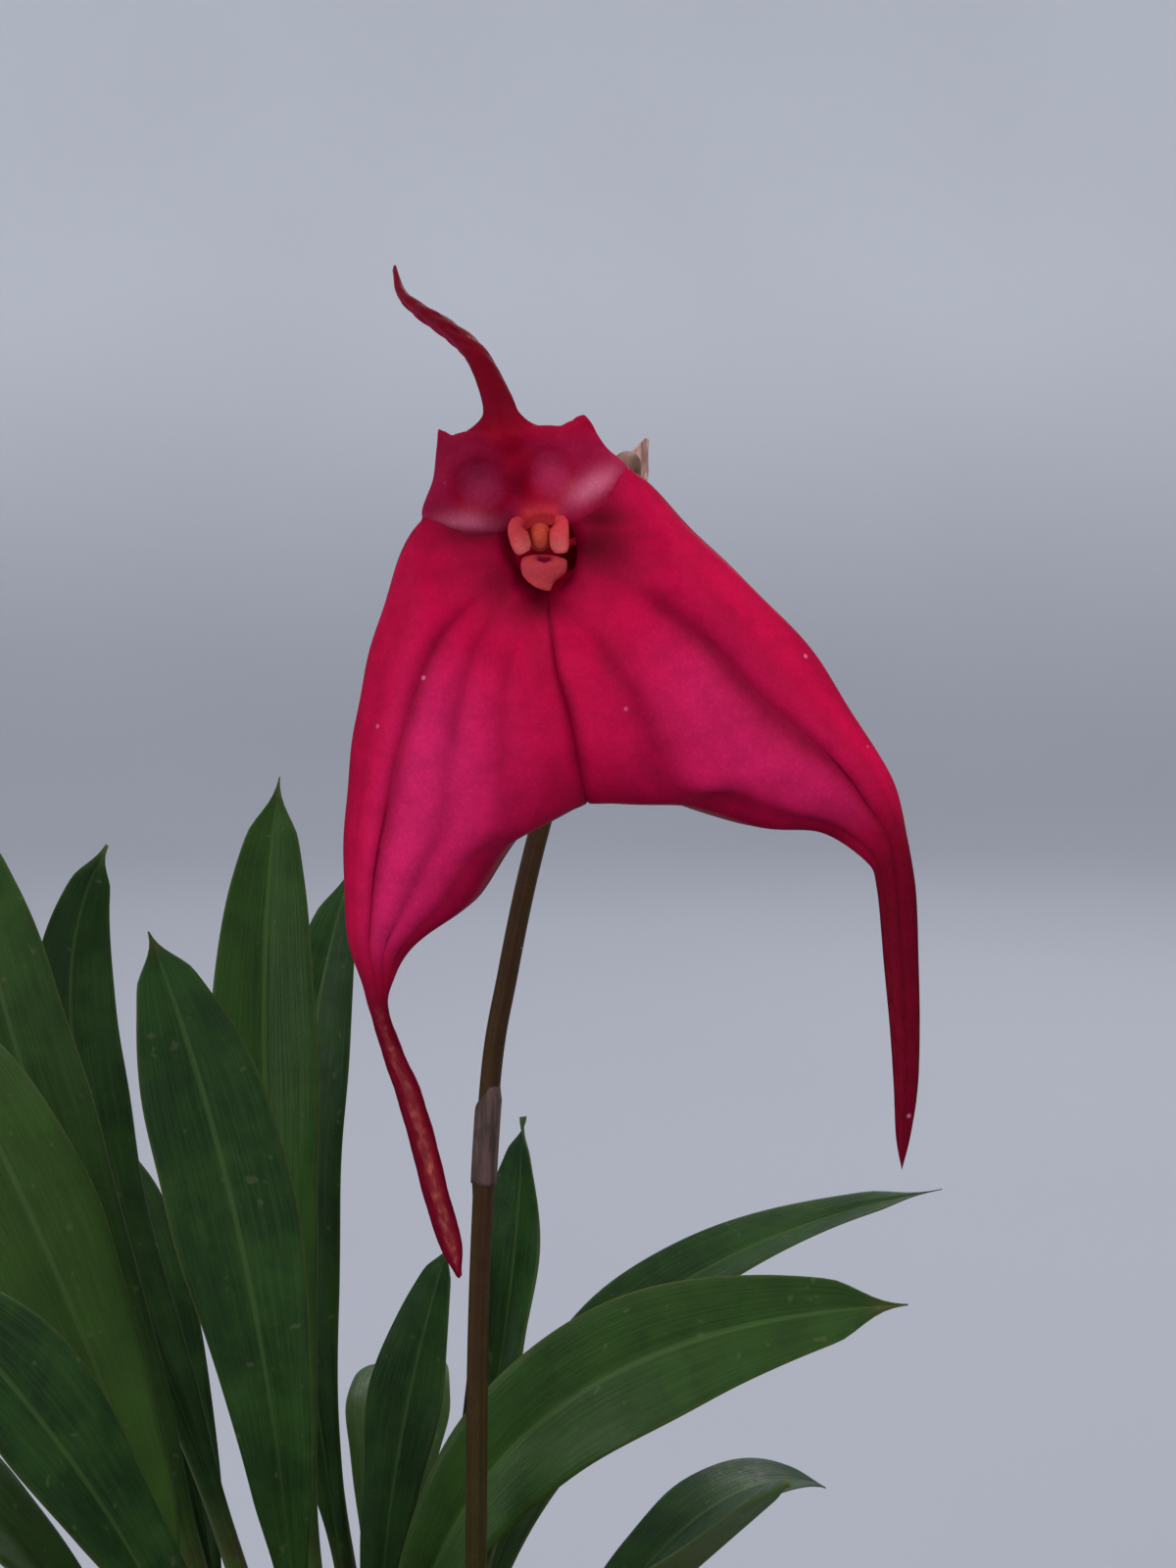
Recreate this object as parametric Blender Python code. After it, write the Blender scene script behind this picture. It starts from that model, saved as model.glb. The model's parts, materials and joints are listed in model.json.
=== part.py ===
"""Masdevallia orchid in flower, growing in a plain clay pot.

Run with: blender --background --python part.py
Sizes are written in millimetres and turned into metres when a mesh is made.
The origin is the middle of the pot's foot, +Z is up and the bloom faces -Y.
"""
import math
import random

import bpy
import numpy as np

MM = 0.001
GAP = 0.3            # clearance between pieces that meet

# Pot and potting mix
POT_HEIGHT = 86.0
POT_FOOT_RADIUS = 33.0
POT_BODY_RADIUS = 44.0      # under the rim
POT_RIM_RADIUS = 49.0
POT_RIM_HEIGHT = 17.0
POT_WALL = 4.0
POT_FLOOR = 6.0
POT_SIDES = 40
DRAIN_RADIUS = 4.0
DRAIN_CIRCLE = 17.0
DRAIN_COUNT = 3
MIX_LEVEL = 76.0
CHIP_COUNT = 40
CHIP_SIZE = (11.5, 7.5, 4.0)
STEM_DEPTH = 15.0           # how deep the stems stand in the mix
HOLE_SIDES = 8

# Bloom: the throat is the origin of the bloom's own frame
THROAT = np.array((16.5, -45.0, 218.0))
TUBE_AXIS = np.array((0.274, 0.913, 0.301))
TUBE_LENGTH = 11.5
TISSUE = 0.38               # half the thickness of the sepals

# Sepaline tube: distance behind the throat and radius of each ring
TUBE_RINGS = ((11.5, 2.7), (9.4, 3.6), (7.2, 4.0), (4.9, 4.1))

# Each sepal is a run of sections: first edge, mid vein, last edge, going round
# clockwise as seen from the front. The first six or nine share their edges
# with the sepal beside them; after that the edges are free.
SEAM_LEFT = ((-3.4, 2.5, 2.9), (-6.5, 1.0, 2.7), (-10.3, 1.0, 4.0))
SEAM_RIGHT = ((2.6, 2.4, 3.6), (5.3, 1.5, 5.5), (7.2, 1.2, 8.1))
SEAM_LOWER = ((0.4, 2.3, -3.0), (0.7, 0.2, -6.3), (1.2, -0.8, -9.3),
              (2.1, -1.2, -12.2), (2.9, -0.8, -16.0), (3.7, 1.6, -20.3))

DORSAL = {
    "first": SEAM_LEFT + ((-9.4, 0.6, 7.5), (-8.8, 0.2, 11.1), (-7.2, 0.2, 10.8), (-5.3, 0.4, 12.0)),
    "mid": ((-0.8, 2.7, 4.8), (-1.9, 1.6, 6.5), (-2.4, 0.6, 8.1), (-3.0, 0.0, 9.6),
            (-3.3, -0.6, 10.7), (-3.5, -0.4, 11.6), (-3.7, 0.0, 12.8)),
    "last": SEAM_RIGHT + ((5.2, 0.8, 10.2), (3.4, 0.4, 12.5), (0.4, 0.2, 11.4), (-1.8, 0.4, 12.3)),
    "tail": ((-4.1, 1.0, 14.5, 1.26), (-5.8, 3.5, 18.0, 1.06), (-8.4, 7.5, 20.5, 0.84),
             (-11.1, 12.0, 22.5, 0.8), (-13.1, 16.0, 24.4, 0.7), (-14.2, 20.0, 27.4, 0.0)),
    "tail_side": ((0.97, 0.1, 0.2), (0.6, -0.3, -0.74)),
    "tail_half_thick": 0.8,
}
RIGHT_SEPAL = {
    "first": SEAM_RIGHT + ((13.4, 2.0, 2.7), (18.9, 2.4, -2.1), (22.9, 2.6, -6.5), (26.5, 2.6, -11.9),
                           (28.8, 2.4, -15.7), (30.3, 2.0, -18.8), (31.1, 1.4, -22.6)),
    "mid": ((2.95, 2.0, -0.2), (7.6, -0.4, -1.9), (10.4, -1.6, -3.6), (13.8, -2.0, -6.1),
            (17.2, -2.0, -9.6), (20.4, -1.8, -12.7), (23.6, -1.4, -15.3), (26.0, -0.8, -17.7),
            (27.8, -0.2, -20.4), (29.5, 0.2, -23.3)),
    "last": SEAM_LOWER + ((9.7, 2.4, -20.8), (17.0, 2.0, -23.0), (23.5, 1.6, -23.3), (27.8, 1.0, -25.4)),
    "tail": ((30.4, 0.6, -27.6, 1.67), (30.9, 0.2, -34.4, 1.5), (31.2, -0.4, -39.9, 1.29),
             (31.3, -0.8, -45.0, 1.04), (31.1, -1.0, -49.3, 0.62), (31.0, -1.2, -52.2, 0.0)),
    "tail_side": ((-1.0, 0.1, -0.1), (-1.0, 0.1, 0.0)),
    "tail_half_thick": 0.75,
}
LEFT_SEPAL = {
    "first": SEAM_LOWER + ((-0.9, 2.2, -23.1), (-5.6, 1.8, -29.3), (-11.2, 1.2, -33.1), (-13.3, 0.8, -35.8)),
    "mid": ((-2.8, 2.0, -0.9), (-6.2, -0.6, -3.4), (-8.7, -1.6, -5.9), (-10.5, -1.8, -9.6),
            (-12.2, -1.6, -14.7), (-13.5, -1.2, -20.3), (-14.4, -0.8, -24.9), (-15.0, -0.4, -28.7),
            (-15.1, 0.0, -32.7), (-14.5, 0.2, -36.0)),
    "last": SEAM_LEFT + ((-13.2, 1.8, -1.0), (-15.7, 2.4, -8.6), (-17.2, 2.6, -17.2), (-17.6, 2.4, -23.1),
                         (-17.6, 2.2, -27.9), (-17.0, 1.8, -32.5), (-15.7, 1.2, -36.2)),
    "tail": ((-14.3, 0.3, -38.8, 0.8), (-13.3, 0.0, -42.0, 0.85), (-11.9, -0.7, -45.4, 1.05),
             (-10.6, -1.4, -49.6, 1.1), (-9.4, -2.1, -54.2, 1.08), (-8.1, -2.6, -58.5, 0.95),
             (-7.4, -3.0, -61.3, 0.0)),
    "tail_side": ((-0.95, 0.1, -0.3), (-0.96, 0.05, -0.25)),
    "tail_half_thick": 0.62,
}
SEAM_END_UPPER = 6          # section where the dorsal sepal parts from its neighbours
SEAM_END_LOWER = 9          # section where the two lateral sepals part
COLUMNS = {"dorsal": 8, "right": 10, "left": 10}
SECTION_STEPS = (1, 1, 1, 2, 2, 2, 2, 2, 2)     # rows made in each of the shared spans
GROOVES = {"dorsal": ((0.0, -0.35, 0.16), (-0.62, 0.3, 0.12), (0.62, 0.3, 0.12)),
           "right": ((0.0, 0.55, 0.14), (0.6, 0.4, 0.14)),
           "left": ((0.0, 0.55, 0.14), (-0.36, 0.3, 0.1), (-0.68, 0.25, 0.1))}
SEAM_GROOVE = 0.9

# Scape: the bare flower stem, from the mix to the back of the bloom
SCAPE_PATH = ((8.5, -10.5, MIX_LEVEL - STEM_DEPTH), (8.5, -10.8, MIX_LEVEL), (8.6, -11.2, 110.0),
              (9.0, -11.8, 140.0), (10.3, -12.4, 165.0), (12.2, -12.8, 177.0), (15.0, -13.0, 190.0),
              (19.6, -13.0, 206.0), (23.3, -13.0, 217.55))
SCAPE_RADIUS = 1.15
SCAPE_SHEATHS = (104.0, 156.0)      # heights of the two stem bracts

# Leaves: foot (x, y), elbow and tip (x, y, z), half width, and the way the upper face looks
LEAVES = (
    ((-9, 6), (-20, 10, 150), (-14, 14, 194), 6.0, (0.1, -1.0, 0.2)),
    ((-5, 12), (-21, 18, 137), (-7, 26, 183), 5.6, (-0.3, -1.0, 0.2)),
    ((-10, -5), (-13, -10, 150), (-24, -12, 181), 6.6, (0.1, -1.0, 0.1)),
    ((-15, 12), (-54, 29, 155), (-37, 32, 184), 5.6, (0.6, -0.8, 0.2)),
    ((-19, 6), (-48, 14, 156), (-50, 20, 189), 6.4, (0.5, -0.9, 0.2)),
    ((-21, -2), (-37, 1, 144), (-52, 4, 172), 7.0, (0.3, -0.8, 0.5)),
    ((-17, -9), (-31, -18, 131), (-48, -23, 151), 7.2, (0.3, -0.5, 0.9)),
    ((5, 3), (13, 9, 130), (13, 12, 156), 5.6, (-0.8, -0.6, 0.2)),
    ((-1, -2), (-1, -4, 137), (54, -5, 140), 7.0, (0.0, -1.0, 0.4)),
    ((6, 10), (4, 22, 133), (62, 25, 144), 5.6, (-0.3, -0.4, 1.0)),
    ((8, -3), (30, -24, 119), (39, -35, 133), 6.4, (-0.3, 0.2, 1.0)),
    ((-3, 4), (-3, 6, 117), (5, 8, 143), 4.6, (-0.5, -0.8, 0.1)),
    ((-13, 18), (-18, 30, 146), (-24, 52, 150), 6.6, (0.0, -0.8, 0.6)),
    ((-21, 13), (-33, 32, 136), (-46, 46, 147), 6.4, (0.4, -0.6, 0.7)),
    ((-27, 2), (-49, 9, 124), (-74, 14, 122), 6.6, (0.3, -0.2, 1.0)),
    ((-4, 20), (-4, 44, 119), (-4, 60, 109), 6.6, (0.0, -0.4, 1.0)),
    ((4, 16), (17, 38, 124), (30, 52, 113), 6.4, (-0.2, -0.3, 1.0)),
    ((13, 9), (32, 26, 114), (50, 38, 102), 6.2, (-0.3, -0.2, 1.0)),
    ((-9, -14), (-15, -37, 121), (-24, -55, 117), 6.6, (0.1, 0.4, 1.0)),
    ((1, -12), (4, -37, 121), (9, -57, 113), 6.4, (0.0, 0.4, 1.0)),
    ((15, 1), (33, -4, 113), (58, -14, 109), 6.2, (-0.3, 0.1, 1.0)),
    ((-26, -8), (-45, -22, 122), (-68, -32, 115), 6.6, (0.3, 0.2, 1.0)),
    ((-17, -17), (-30, -36, 123), (-46, -51, 119), 6.8, (0.2, 0.4, 1.0)),
)
RAMICAUL_RADIUS = 1.25
# Half width along a leaf, as (place from foot to tip, share of the greatest half width)
LEAF_OUTLINE = ((0.24, 0.2), (0.33, 0.32), (0.45, 0.53), (0.60, 0.84), (0.74, 1.0),
                (0.84, 0.9), (0.92, 0.62), (0.97, 0.33), (1.0, 0.05))
LEAF_STATIONS = (0.0, 0.12, 0.23, 0.33, 0.42, 0.50, 0.58, 0.66, 0.74, 0.82, 0.89, 0.95, 1.0)
LEAF_HALF_THICK = 0.7


def clear_scene():
    for old in list(bpy.data.objects):
        bpy.data.objects.remove(old)


def unit(v):
    v = np.asarray(v, float)
    return v / np.linalg.norm(v)


def material(name, colour, roughness):
    made = bpy.data.materials.new(name)
    made.use_nodes = True
    shader = made.node_tree.nodes["Principled BSDF"]
    shader.inputs["Base Color"].default_value = (*colour, 1.0)
    shader.inputs["Roughness"].default_value = roughness
    shader.inputs["Metallic"].default_value = 0.0
    return made


def mesh_object(name, points_mm, faces, finish, smooth=True):
    mesh = bpy.data.meshes.new(name)
    mesh.from_pydata([tuple(float(c) * MM for c in p) for p in points_mm], [], [tuple(f) for f in faces])
    mesh.validate()
    if smooth:
        mesh.shade_smooth()
        mesh.set_sharp_from_angle(angle=math.radians(50))
    if finish:
        mesh.materials.append(finish)
    made = bpy.data.objects.new(name, mesh)
    bpy.context.scene.collection.objects.link(made)
    return made


def spline_point(keys, place):
    """The point at `place`, counted in keys, on a Catmull-Rom curve through the keys."""
    keys = np.asarray(keys, float)
    i = min(int(place), len(keys) - 2)
    t = place - i
    before = keys[i - 1] if i > 0 else 2 * keys[0] - keys[1]
    after = keys[i + 2] if i + 2 < len(keys) else 2 * keys[-1] - keys[-2]
    a, b = keys[i], keys[i + 1]
    return 0.5 * (2 * a + (b - before) * t + (2 * before - 5 * a + 4 * b - after) * t ** 2
                  + (3 * a - before - 3 * b + after) * t ** 3)


def spline(keys, steps):
    count = (len(keys) - 1) * steps
    return np.array([spline_point(keys, k / steps) for k in range(count + 1)])


def frames_along(path, hint):
    """Tangent, side and normal at each point of a path; the normal leans towards the hint."""
    path = np.asarray(path, float)
    tangents = np.gradient(path, axis=0)
    made = []
    for tangent in tangents:
        tangent = unit(tangent)
        side = unit(np.cross(tangent, hint))
        made.append((tangent, side, np.cross(side, tangent)))
    return made


def loft(name, rings, finish):
    """One closed body from rings with the same number of points, capped at both ends."""
    count = len(rings[0])
    points = [p for ring in rings for p in ring]
    faces = [tuple(range(count))[::-1]]
    for i in range(len(rings) - 1):
        for k in range(count):
            a, b = i * count + k, i * count + (k + 1) % count
            faces.append((a, b, b + count, a + count))
    faces.append(tuple(range((len(rings) - 1) * count, len(rings) * count)))
    return outward(mesh_object(name, points, faces, finish))


def outward(obj):
    """Turns the faces round if they point inwards."""
    mesh = obj.data
    points = np.array([v.co for v in mesh.vertices])
    mesh.calc_loop_triangles()
    corners = points[np.array([t.vertices for t in mesh.loop_triangles])]
    if np.linalg.det(corners).sum() < 0:
        mesh.flip_normals()
    return obj


def round_rings(path, radii, sides, hint, flat=1.0):
    """Round or flattened rings along a path."""
    rings = []
    for p, r, (_, side, normal) in zip(path, radii, frames_along(path, hint)):
        angles = [math.tau * k / sides for k in range(sides)]
        rings.append([p + r * (math.cos(a) * side + flat * math.sin(a) * normal) for a in angles])
    return rings


def leaf_section(half_width, half_thick, fold, roundness, radius):
    """Eight (across, up) points: over the lower face, then back over the upper face."""
    across = (-1.0, -0.55, 0.0, 0.55, 1.0, 0.55, 0.0, -0.55)
    made = []
    for k, u in enumerate(across):
        level = fold * half_width * abs(u) ** 1.25
        edge = math.sqrt(1.0 - 0.85 * abs(u) ** 3)
        below = 0 < k < 4
        if abs(u) == 1.0:
            offset = 0.0
        elif below:
            offset = -half_thick * edge * (1.25 if u == 0.0 else 1.0)
        else:
            offset = half_thick * edge * (0.55 if u == 0.0 else 1.0)
        angle = math.pi + math.tau * k / len(across)
        blade = np.array((half_width * u, level + offset))
        stem = np.array((radius * math.cos(angle), radius * math.sin(angle)))
        made.append(blade * (1 - roundness) + stem * roundness)
    return made


def ease(value, low, high):
    t = min(max((value - low) / (high - low), 0.0), 1.0)
    return t * t * (3 - 2 * t)


def leaf_path(foot, elbow, tip):
    """Control points of a leaf's bend: straight up out of the mix, then over to the tip."""
    foot = np.array((*foot, MIX_LEVEL))
    rise = 0.33 * (tip[2] - MIX_LEVEL)
    return foot, foot + (0, 0, rise), np.array(elbow, float), np.array(tip, float)


def bezier(controls, t):
    a, b, c, d = controls
    return a * (1 - t) ** 3 + 3 * b * t * (1 - t) ** 2 + 3 * c * t * t * (1 - t) + d * t ** 3


def leaf(name, foot, elbow, tip, half_width, face, finish):
    """Ramicaul, channelled petiole and blade, grown as one piece."""
    controls = leaf_path(foot, elbow, tip)
    path = np.array([controls[0] - (0, 0, STEM_DEPTH)] + [bezier(controls, t) for t in LEAF_STATIONS])
    places = [p for p, _ in LEAF_OUTLINE]
    shares = [s for _, s in LEAF_OUTLINE]
    rings = []
    for station, p, (_, side, normal) in zip((0.0, *LEAF_STATIONS), path, frames_along(path, unit(face))):
        wide = max(half_width * float(np.interp(station, places, shares)), 0.35)
        roundness = 1 - ease(station, 0.24, 0.42)
        fold = 0.75 - 0.5 * ease(station, 0.34, 0.6)
        thick = LEAF_HALF_THICK * (1.25 - 0.85 * ease(station, 0.5, 1.0))
        ring = leaf_section(wide, thick, fold, roundness, RAMICAUL_RADIUS)
        rings.append([p + x * side + z * normal for x, z in ring])
    return loft(name, rings, finish)


def tube_ring_point(distance, radius, angle):
    """A point of the tube's ring; the angle runs clockwise from the top, seen from the front."""
    right = unit(np.cross(TUBE_AXIS, (0, 0, 1)))
    up = np.cross(right, TUBE_AXIS)
    return TUBE_AXIS * distance + radius * (math.sin(angle) * right + math.cos(angle) * up)


def across_section(first, mid, last, columns):
    """Points from edge to edge on the parabola through both edges and the mid vein."""
    first, mid, last = (np.array(p, float) for p in (first, mid, last))
    one, two = np.linalg.norm(mid - first), np.linalg.norm(last - mid)
    m = one / (one + two)
    made = []
    for k in range(columns + 1):
        s = 2 * k / columns
        u = m * s if s <= 1 else m + (1 - m) * (s - 1)
        made.append(first * (u - m) * (u - 1) / m + mid * u * (u - 1) / (m * (m - 1))
                    + last * u * (u - m) / (1 - m))
    return made


def sepal_rows(sepal, columns, start_angle):
    """The sepal's middle surface as rows of points, with the tail's rows last."""
    keys = []
    for distance, radius in TUBE_RINGS:
        keys.append([tube_ring_point(distance, radius, math.radians(start_angle + 120 * k / columns))
                     for k in range(columns + 1)])
    for first, mid, last in zip(sepal["first"], sepal["mid"], sepal["last"]):
        keys.append(across_section(first, mid, last, columns))
    blade_keys = len(keys)
    side_from, side_to = (unit(v) for v in sepal["tail_side"])
    tail = sepal["tail"]
    for k, (x, y, z, half) in enumerate(tail):
        side = unit(side_from + (side_to - side_from) * k / (len(tail) - 1))
        keys.append([np.array((x, y, z)) - side * half * (1 - 2 * c / columns) for c in range(columns + 1)])
    keys = np.array(keys)
    rows, places = [], []
    for i in range(len(keys) - 1):
        steps = SECTION_STEPS[i] if i < len(SECTION_STEPS) else (2 if i < blade_keys else 1)
        for k in range(steps):
            rows.append(spline_point(keys, i + k / steps))
            places.append(i + k / steps)
    rows.append(keys[-1])
    places.append(float(len(keys) - 1))
    return np.array(rows), np.array(places), blade_keys


def groove_depth(name, place, blade_keys, u):
    """How far the veins press the surface back at u, which runs from -1 to 1 across the sepal."""
    along = ease(place, 4.2, 6.0) * (1 - ease(place, blade_keys - 3, blade_keys))
    depth = 0.0
    for centre, deep, wide in GROOVES[name]:
        depth += deep * math.exp(-((u - centre) / wide) ** 2)
    return depth * along


def perianth(finish):
    """The three sepals, grown together into a tube, with their free blades and tails."""
    plan = (("dorsal", DORSAL, -60), ("right", RIGHT_SEPAL, 60), ("left", LEFT_SEPAL, 180))
    seam_after = {"dorsal": SEAM_END_UPPER, "right": SEAM_END_LOWER, "left": SEAM_END_UPPER}
    grids, middle, ids, quads, thick = {}, [], {}, [], {}
    for name, sepal, angle in plan:
        grids[name] = sepal_rows(sepal, COLUMNS[name], angle)
    before = {"right": "dorsal", "left": "right", "dorsal": "left"}

    def shared_edge(name, place, last_edge):
        """The seam's end section for one edge of a sepal."""
        return place <= (seam_after[name] if last_edge else seam_after[before[name]])

    for name, _, _ in plan:
        rows, places, blade_keys = grids[name]
        columns = COLUMNS[name]
        for i, row in enumerate(rows):
            for c in range(columns + 1):
                u = 2 * c / columns - 1
                owner = before[name]
                if c == 0 and shared_edge(name, places[i], False) and owner in ids:
                    ids.setdefault(name, {})[i, c] = ids[owner][i, COLUMNS[owner]]
                    continue
                if name == "left" and c == columns and shared_edge(name, places[i], True):
                    ids[name][i, c] = ids["dorsal"][i, 0]
                    continue
                if i == len(rows) - 1 and c > 0:
                    ids[name][i, c] = ids[name][i, 0]
                    continue
                pressed = groove_depth(name, places[i], blade_keys, u)
                ids.setdefault(name, {})[i, c] = len(middle)
                middle.append(row[c] + np.array((0, pressed, 0)))
    lower_seam = [ids["right"][i, COLUMNS["right"]] for i, p in enumerate(grids["right"][1])
                  if 5 < p <= SEAM_END_LOWER]
    for v in lower_seam:
        middle[v] = middle[v] + np.array((0, SEAM_GROOVE * 0.6, 0))
    middle = np.array(middle)
    for name, _, _ in plan:
        rows, _, _ = grids[name]
        for i in range(len(rows) - 1):
            for c in range(COLUMNS[name]):
                corners = (ids[name][i, c], ids[name][i, c + 1], ids[name][i + 1, c + 1], ids[name][i + 1, c])
                quads.append(corners)
    normals = np.zeros_like(middle)
    for a, b, c, d in quads:
        way = np.cross(middle[c] - middle[a], middle[d] - middle[b])
        for v in {a, b, c, d}:
            normals[v] += way
    normals /= np.linalg.norm(normals, axis=1)[:, None]

    for name, sepal, _ in plan:
        rows, places, blade_keys = grids[name]
        columns = COLUMNS[name]
        for i in range(len(rows)):
            tail = ease(places[i], blade_keys - 2.5, blade_keys + 0.5)
            half = TISSUE + (sepal["tail_half_thick"] - TISSUE) * tail
            half *= 1 - 0.55 * ease(places[i], len(sepal["tail"]) + blade_keys - 4, places[-1])
            power = 10 - 8 * tail
            for c in range(columns + 1):
                u = 2 * c / columns - 1
                free_first = not shared_edge(name, places[i], False)
                free_last = not shared_edge(name, places[i], True)
                shrink = 1.0
                if (u < 0 and free_first) or (u > 0 and free_last):
                    shrink = math.sqrt(max(1 - abs(u) ** power, 0.0))
                v = ids[name][i, c]
                size = 0.0 if i == len(rows) - 1 else half * shrink
                thick[v] = max(thick.get(v, 0.0), size) if shrink else 0.0

    points, front, back = [], {}, {}
    for v, p in enumerate(middle):
        front[v] = len(points)
        points.append(p + normals[v] * thick[v])
        back[v] = front[v]
        if thick[v] > 0:
            back[v] = len(points)
            points.append(p - normals[v] * thick[v])
    faces = []
    for a, b, c, d in quads:
        faces.append([front[v] for v in (a, b, c, d)])
        faces.append([back[v] for v in (d, c, b, a)])
    for name, _, _ in plan:
        rows, _, _ = grids[name]
        for edge in (0, COLUMNS[name]):
            for i in range(len(rows) - 1):
                a, b = ids[name][i, edge], ids[name][i + 1, edge]
                if thick[a] > 0 and thick[b] == 0:
                    wedge = [front[a], front[b], back[a]]
                    faces.append(wedge if edge == 0 else wedge[::-1])
    floor_inner, floor_outer = [], []
    for name, _, _ in plan:
        for c in range(COLUMNS[name]):
            floor_inner.append(front[ids[name][0, c]])
            floor_outer.append(back[ids[name][0, c]])
    floor_outer_points = [np.array(points[k]) for k in floor_outer]
    centre = sum(floor_outer_points) / len(floor_outer_points)
    lowered = []
    for p in floor_outer_points:
        lowered.append(len(points))
        points.append(centre + (p - centre) * 0.72 + TUBE_AXIS * 0.8)
    count = len(lowered)
    for k in range(count):
        n = (k + 1) % count
        faces.append([floor_outer[k], floor_outer[n], lowered[n], lowered[k]])
    faces.append(lowered)
    faces.append(floor_inner[::-1])
    cleaned = []
    for f in faces:
        kept = [v for k, v in enumerate(f) if v != f[k - 1]]
        if len(kept) > 2:
            cleaned.append(kept)
    obj = mesh_object("sepals", [p + THROAT for p in points], cleaned, finish)
    return outward(obj)


def blade(name, path, half_widths, half_thicks, hint, finish, sides=8):
    """A small fleshy blade: flattened rings along a path in the bloom's frame."""
    path = np.asarray(path, float) + THROAT
    rings = []
    for p, w, h, (_, side, normal) in zip(path, half_widths, half_thicks, frames_along(path, unit(hint))):
        angles = [math.tau * k / sides for k in range(sides)]
        rings.append([p + w * math.cos(a) * side + h * math.sin(a) * normal for a in angles])
    return loft(name, rings, finish)


def column(finish):
    """The column, with its domed anther cap at the front."""
    path = ((2.7, 9.4, 3.2), (1.85, 7.6, 3.1), (0.85, 5.6, 2.85), (0.15, 4.1, 2.7), (-0.2, 3.1, 2.55),
            (-0.35, 2.2, 2.45), (-0.4, 1.5, 2.4))
    wide = (0.6, 0.6, 0.62, 0.72, 0.9, 1.0, 0.65)
    thick = (0.7, 0.65, 0.7, 0.9, 1.25, 1.3, 0.8)
    blade("column", path, wide, thick, (0, 0, 1), finish)


def petals(finish):
    """Two small oblong petals beside the column, whose ends bend down over the mouth."""
    left = ((1.5, 9.5, 3.0), (0.45, 7.7, 2.9), (-0.7, 5.6, 2.7), (-1.4, 4.2, 2.5), (-1.75, 3.1, 2.55),
            (-2.05, 2.1, 3.05), (-2.25, 1.4, 3.4), (-2.25, 1.0, 2.95), (-2.05, 0.9, 2.2), (-1.85, 0.9, 1.6),
            (-1.7, 1.0, 1.2))
    right = ((4.2, 9.3, 3.3), (3.35, 7.7, 3.1), (2.35, 5.6, 2.9), (1.8, 4.2, 2.75), (1.5, 3.1, 2.8),
             (1.4, 2.2, 3.25), (1.35, 1.4, 3.55), (1.3, 1.0, 3.0), (1.3, 0.9, 2.2), (1.35, 0.9, 1.6),
             (1.4, 1.0, 1.2))
    wide = (0.4, 0.6, 0.78, 0.75, 0.62, 0.68, 0.86, 0.95, 0.95, 0.88, 0.65)
    thick = (0.3, 0.3, 0.3, 0.3, 0.3, 0.3, 0.32, 0.32, 0.32, 0.3, 0.3)
    blade("petal_left", left, wide, thick, (0.5, -0.87, 0), finish)
    blade("petal_right", right, wide, thick, (-0.5, -0.87, 0), finish)


def lip(finish):
    """The tongue-shaped lip, hinged at the column's foot, its pointed end turned down."""
    path = ((2.6, 9.8, 1.5), (2.0, 8.2, 0.5), (1.35, 6.2, 0.0), (0.7, 4.2, 0.0), (0.2, 2.5, 0.3),
            (0.05, 1.2, 0.38), (0.0, 0.55, -0.05), (0.05, 0.38, -0.7), (0.15, 0.4, -1.35), (0.35, 0.55, -2.05))
    wide = (0.5, 0.9, 1.2, 1.4, 1.6, 1.9, 1.98, 1.85, 1.2, 0.15)
    thick = (0.35, 0.4, 0.42, 0.4, 0.4, 0.4, 0.4, 0.38, 0.34, 0.3)
    blade("lip", path, wide, thick, (0, -0.55, 0.85), finish)


def ovary_and_pedicel(finish):
    """The ribbed ovary behind the tube, and the pedicel that bends down into the floral bract."""
    start = TUBE_AXIS * (TUBE_LENGTH + 1.1 + GAP)
    keys = (start, start + TUBE_AXIS * 2.5, start + TUBE_AXIS * 5.5, start + TUBE_AXIS * 8.5,
            (7.0, 24.5, 9.2), (7.9, 28.6, 9.6), (8.0, 31.0, 7.8), (7.6, 31.8, 5.0), (7.2, 32.0, 1.6))
    radii = (2.0, 2.1, 1.9, 1.45, 1.1, 0.95, 0.9, 0.88, 0.85)
    path = spline(keys, 2) + THROAT
    thick = np.interp(np.arange(len(path)) / 2, range(len(radii)), radii)
    rings = round_rings(path, thick, 10, (1, 0, 0.2))
    for i, ring in enumerate(rings):
        ribs = 0.16 * (1 - ease(i, 5, 8))
        middle = path[i]
        rings[i] = [middle + (p - middle) * (1 + ribs * (-1) ** k) for k, p in enumerate(ring)]
    loft("ovary", rings, finish)


def scape(finish):
    """The flower stem with its two sheathing bracts."""
    path = spline(SCAPE_PATH, 3)
    radii = []
    for p in path:
        taper = 1 - 0.12 * ease(p[2], MIX_LEVEL, 210)
        radius = SCAPE_RADIUS * taper
        for height in SCAPE_SHEATHS:
            radius += 0.45 * math.exp(-((p[2] - height) / 5.5) ** 2)
        radii.append(radius)
    loft("scape", round_rings(path, radii, 8, (0, -1, 0.05)), finish)


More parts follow.
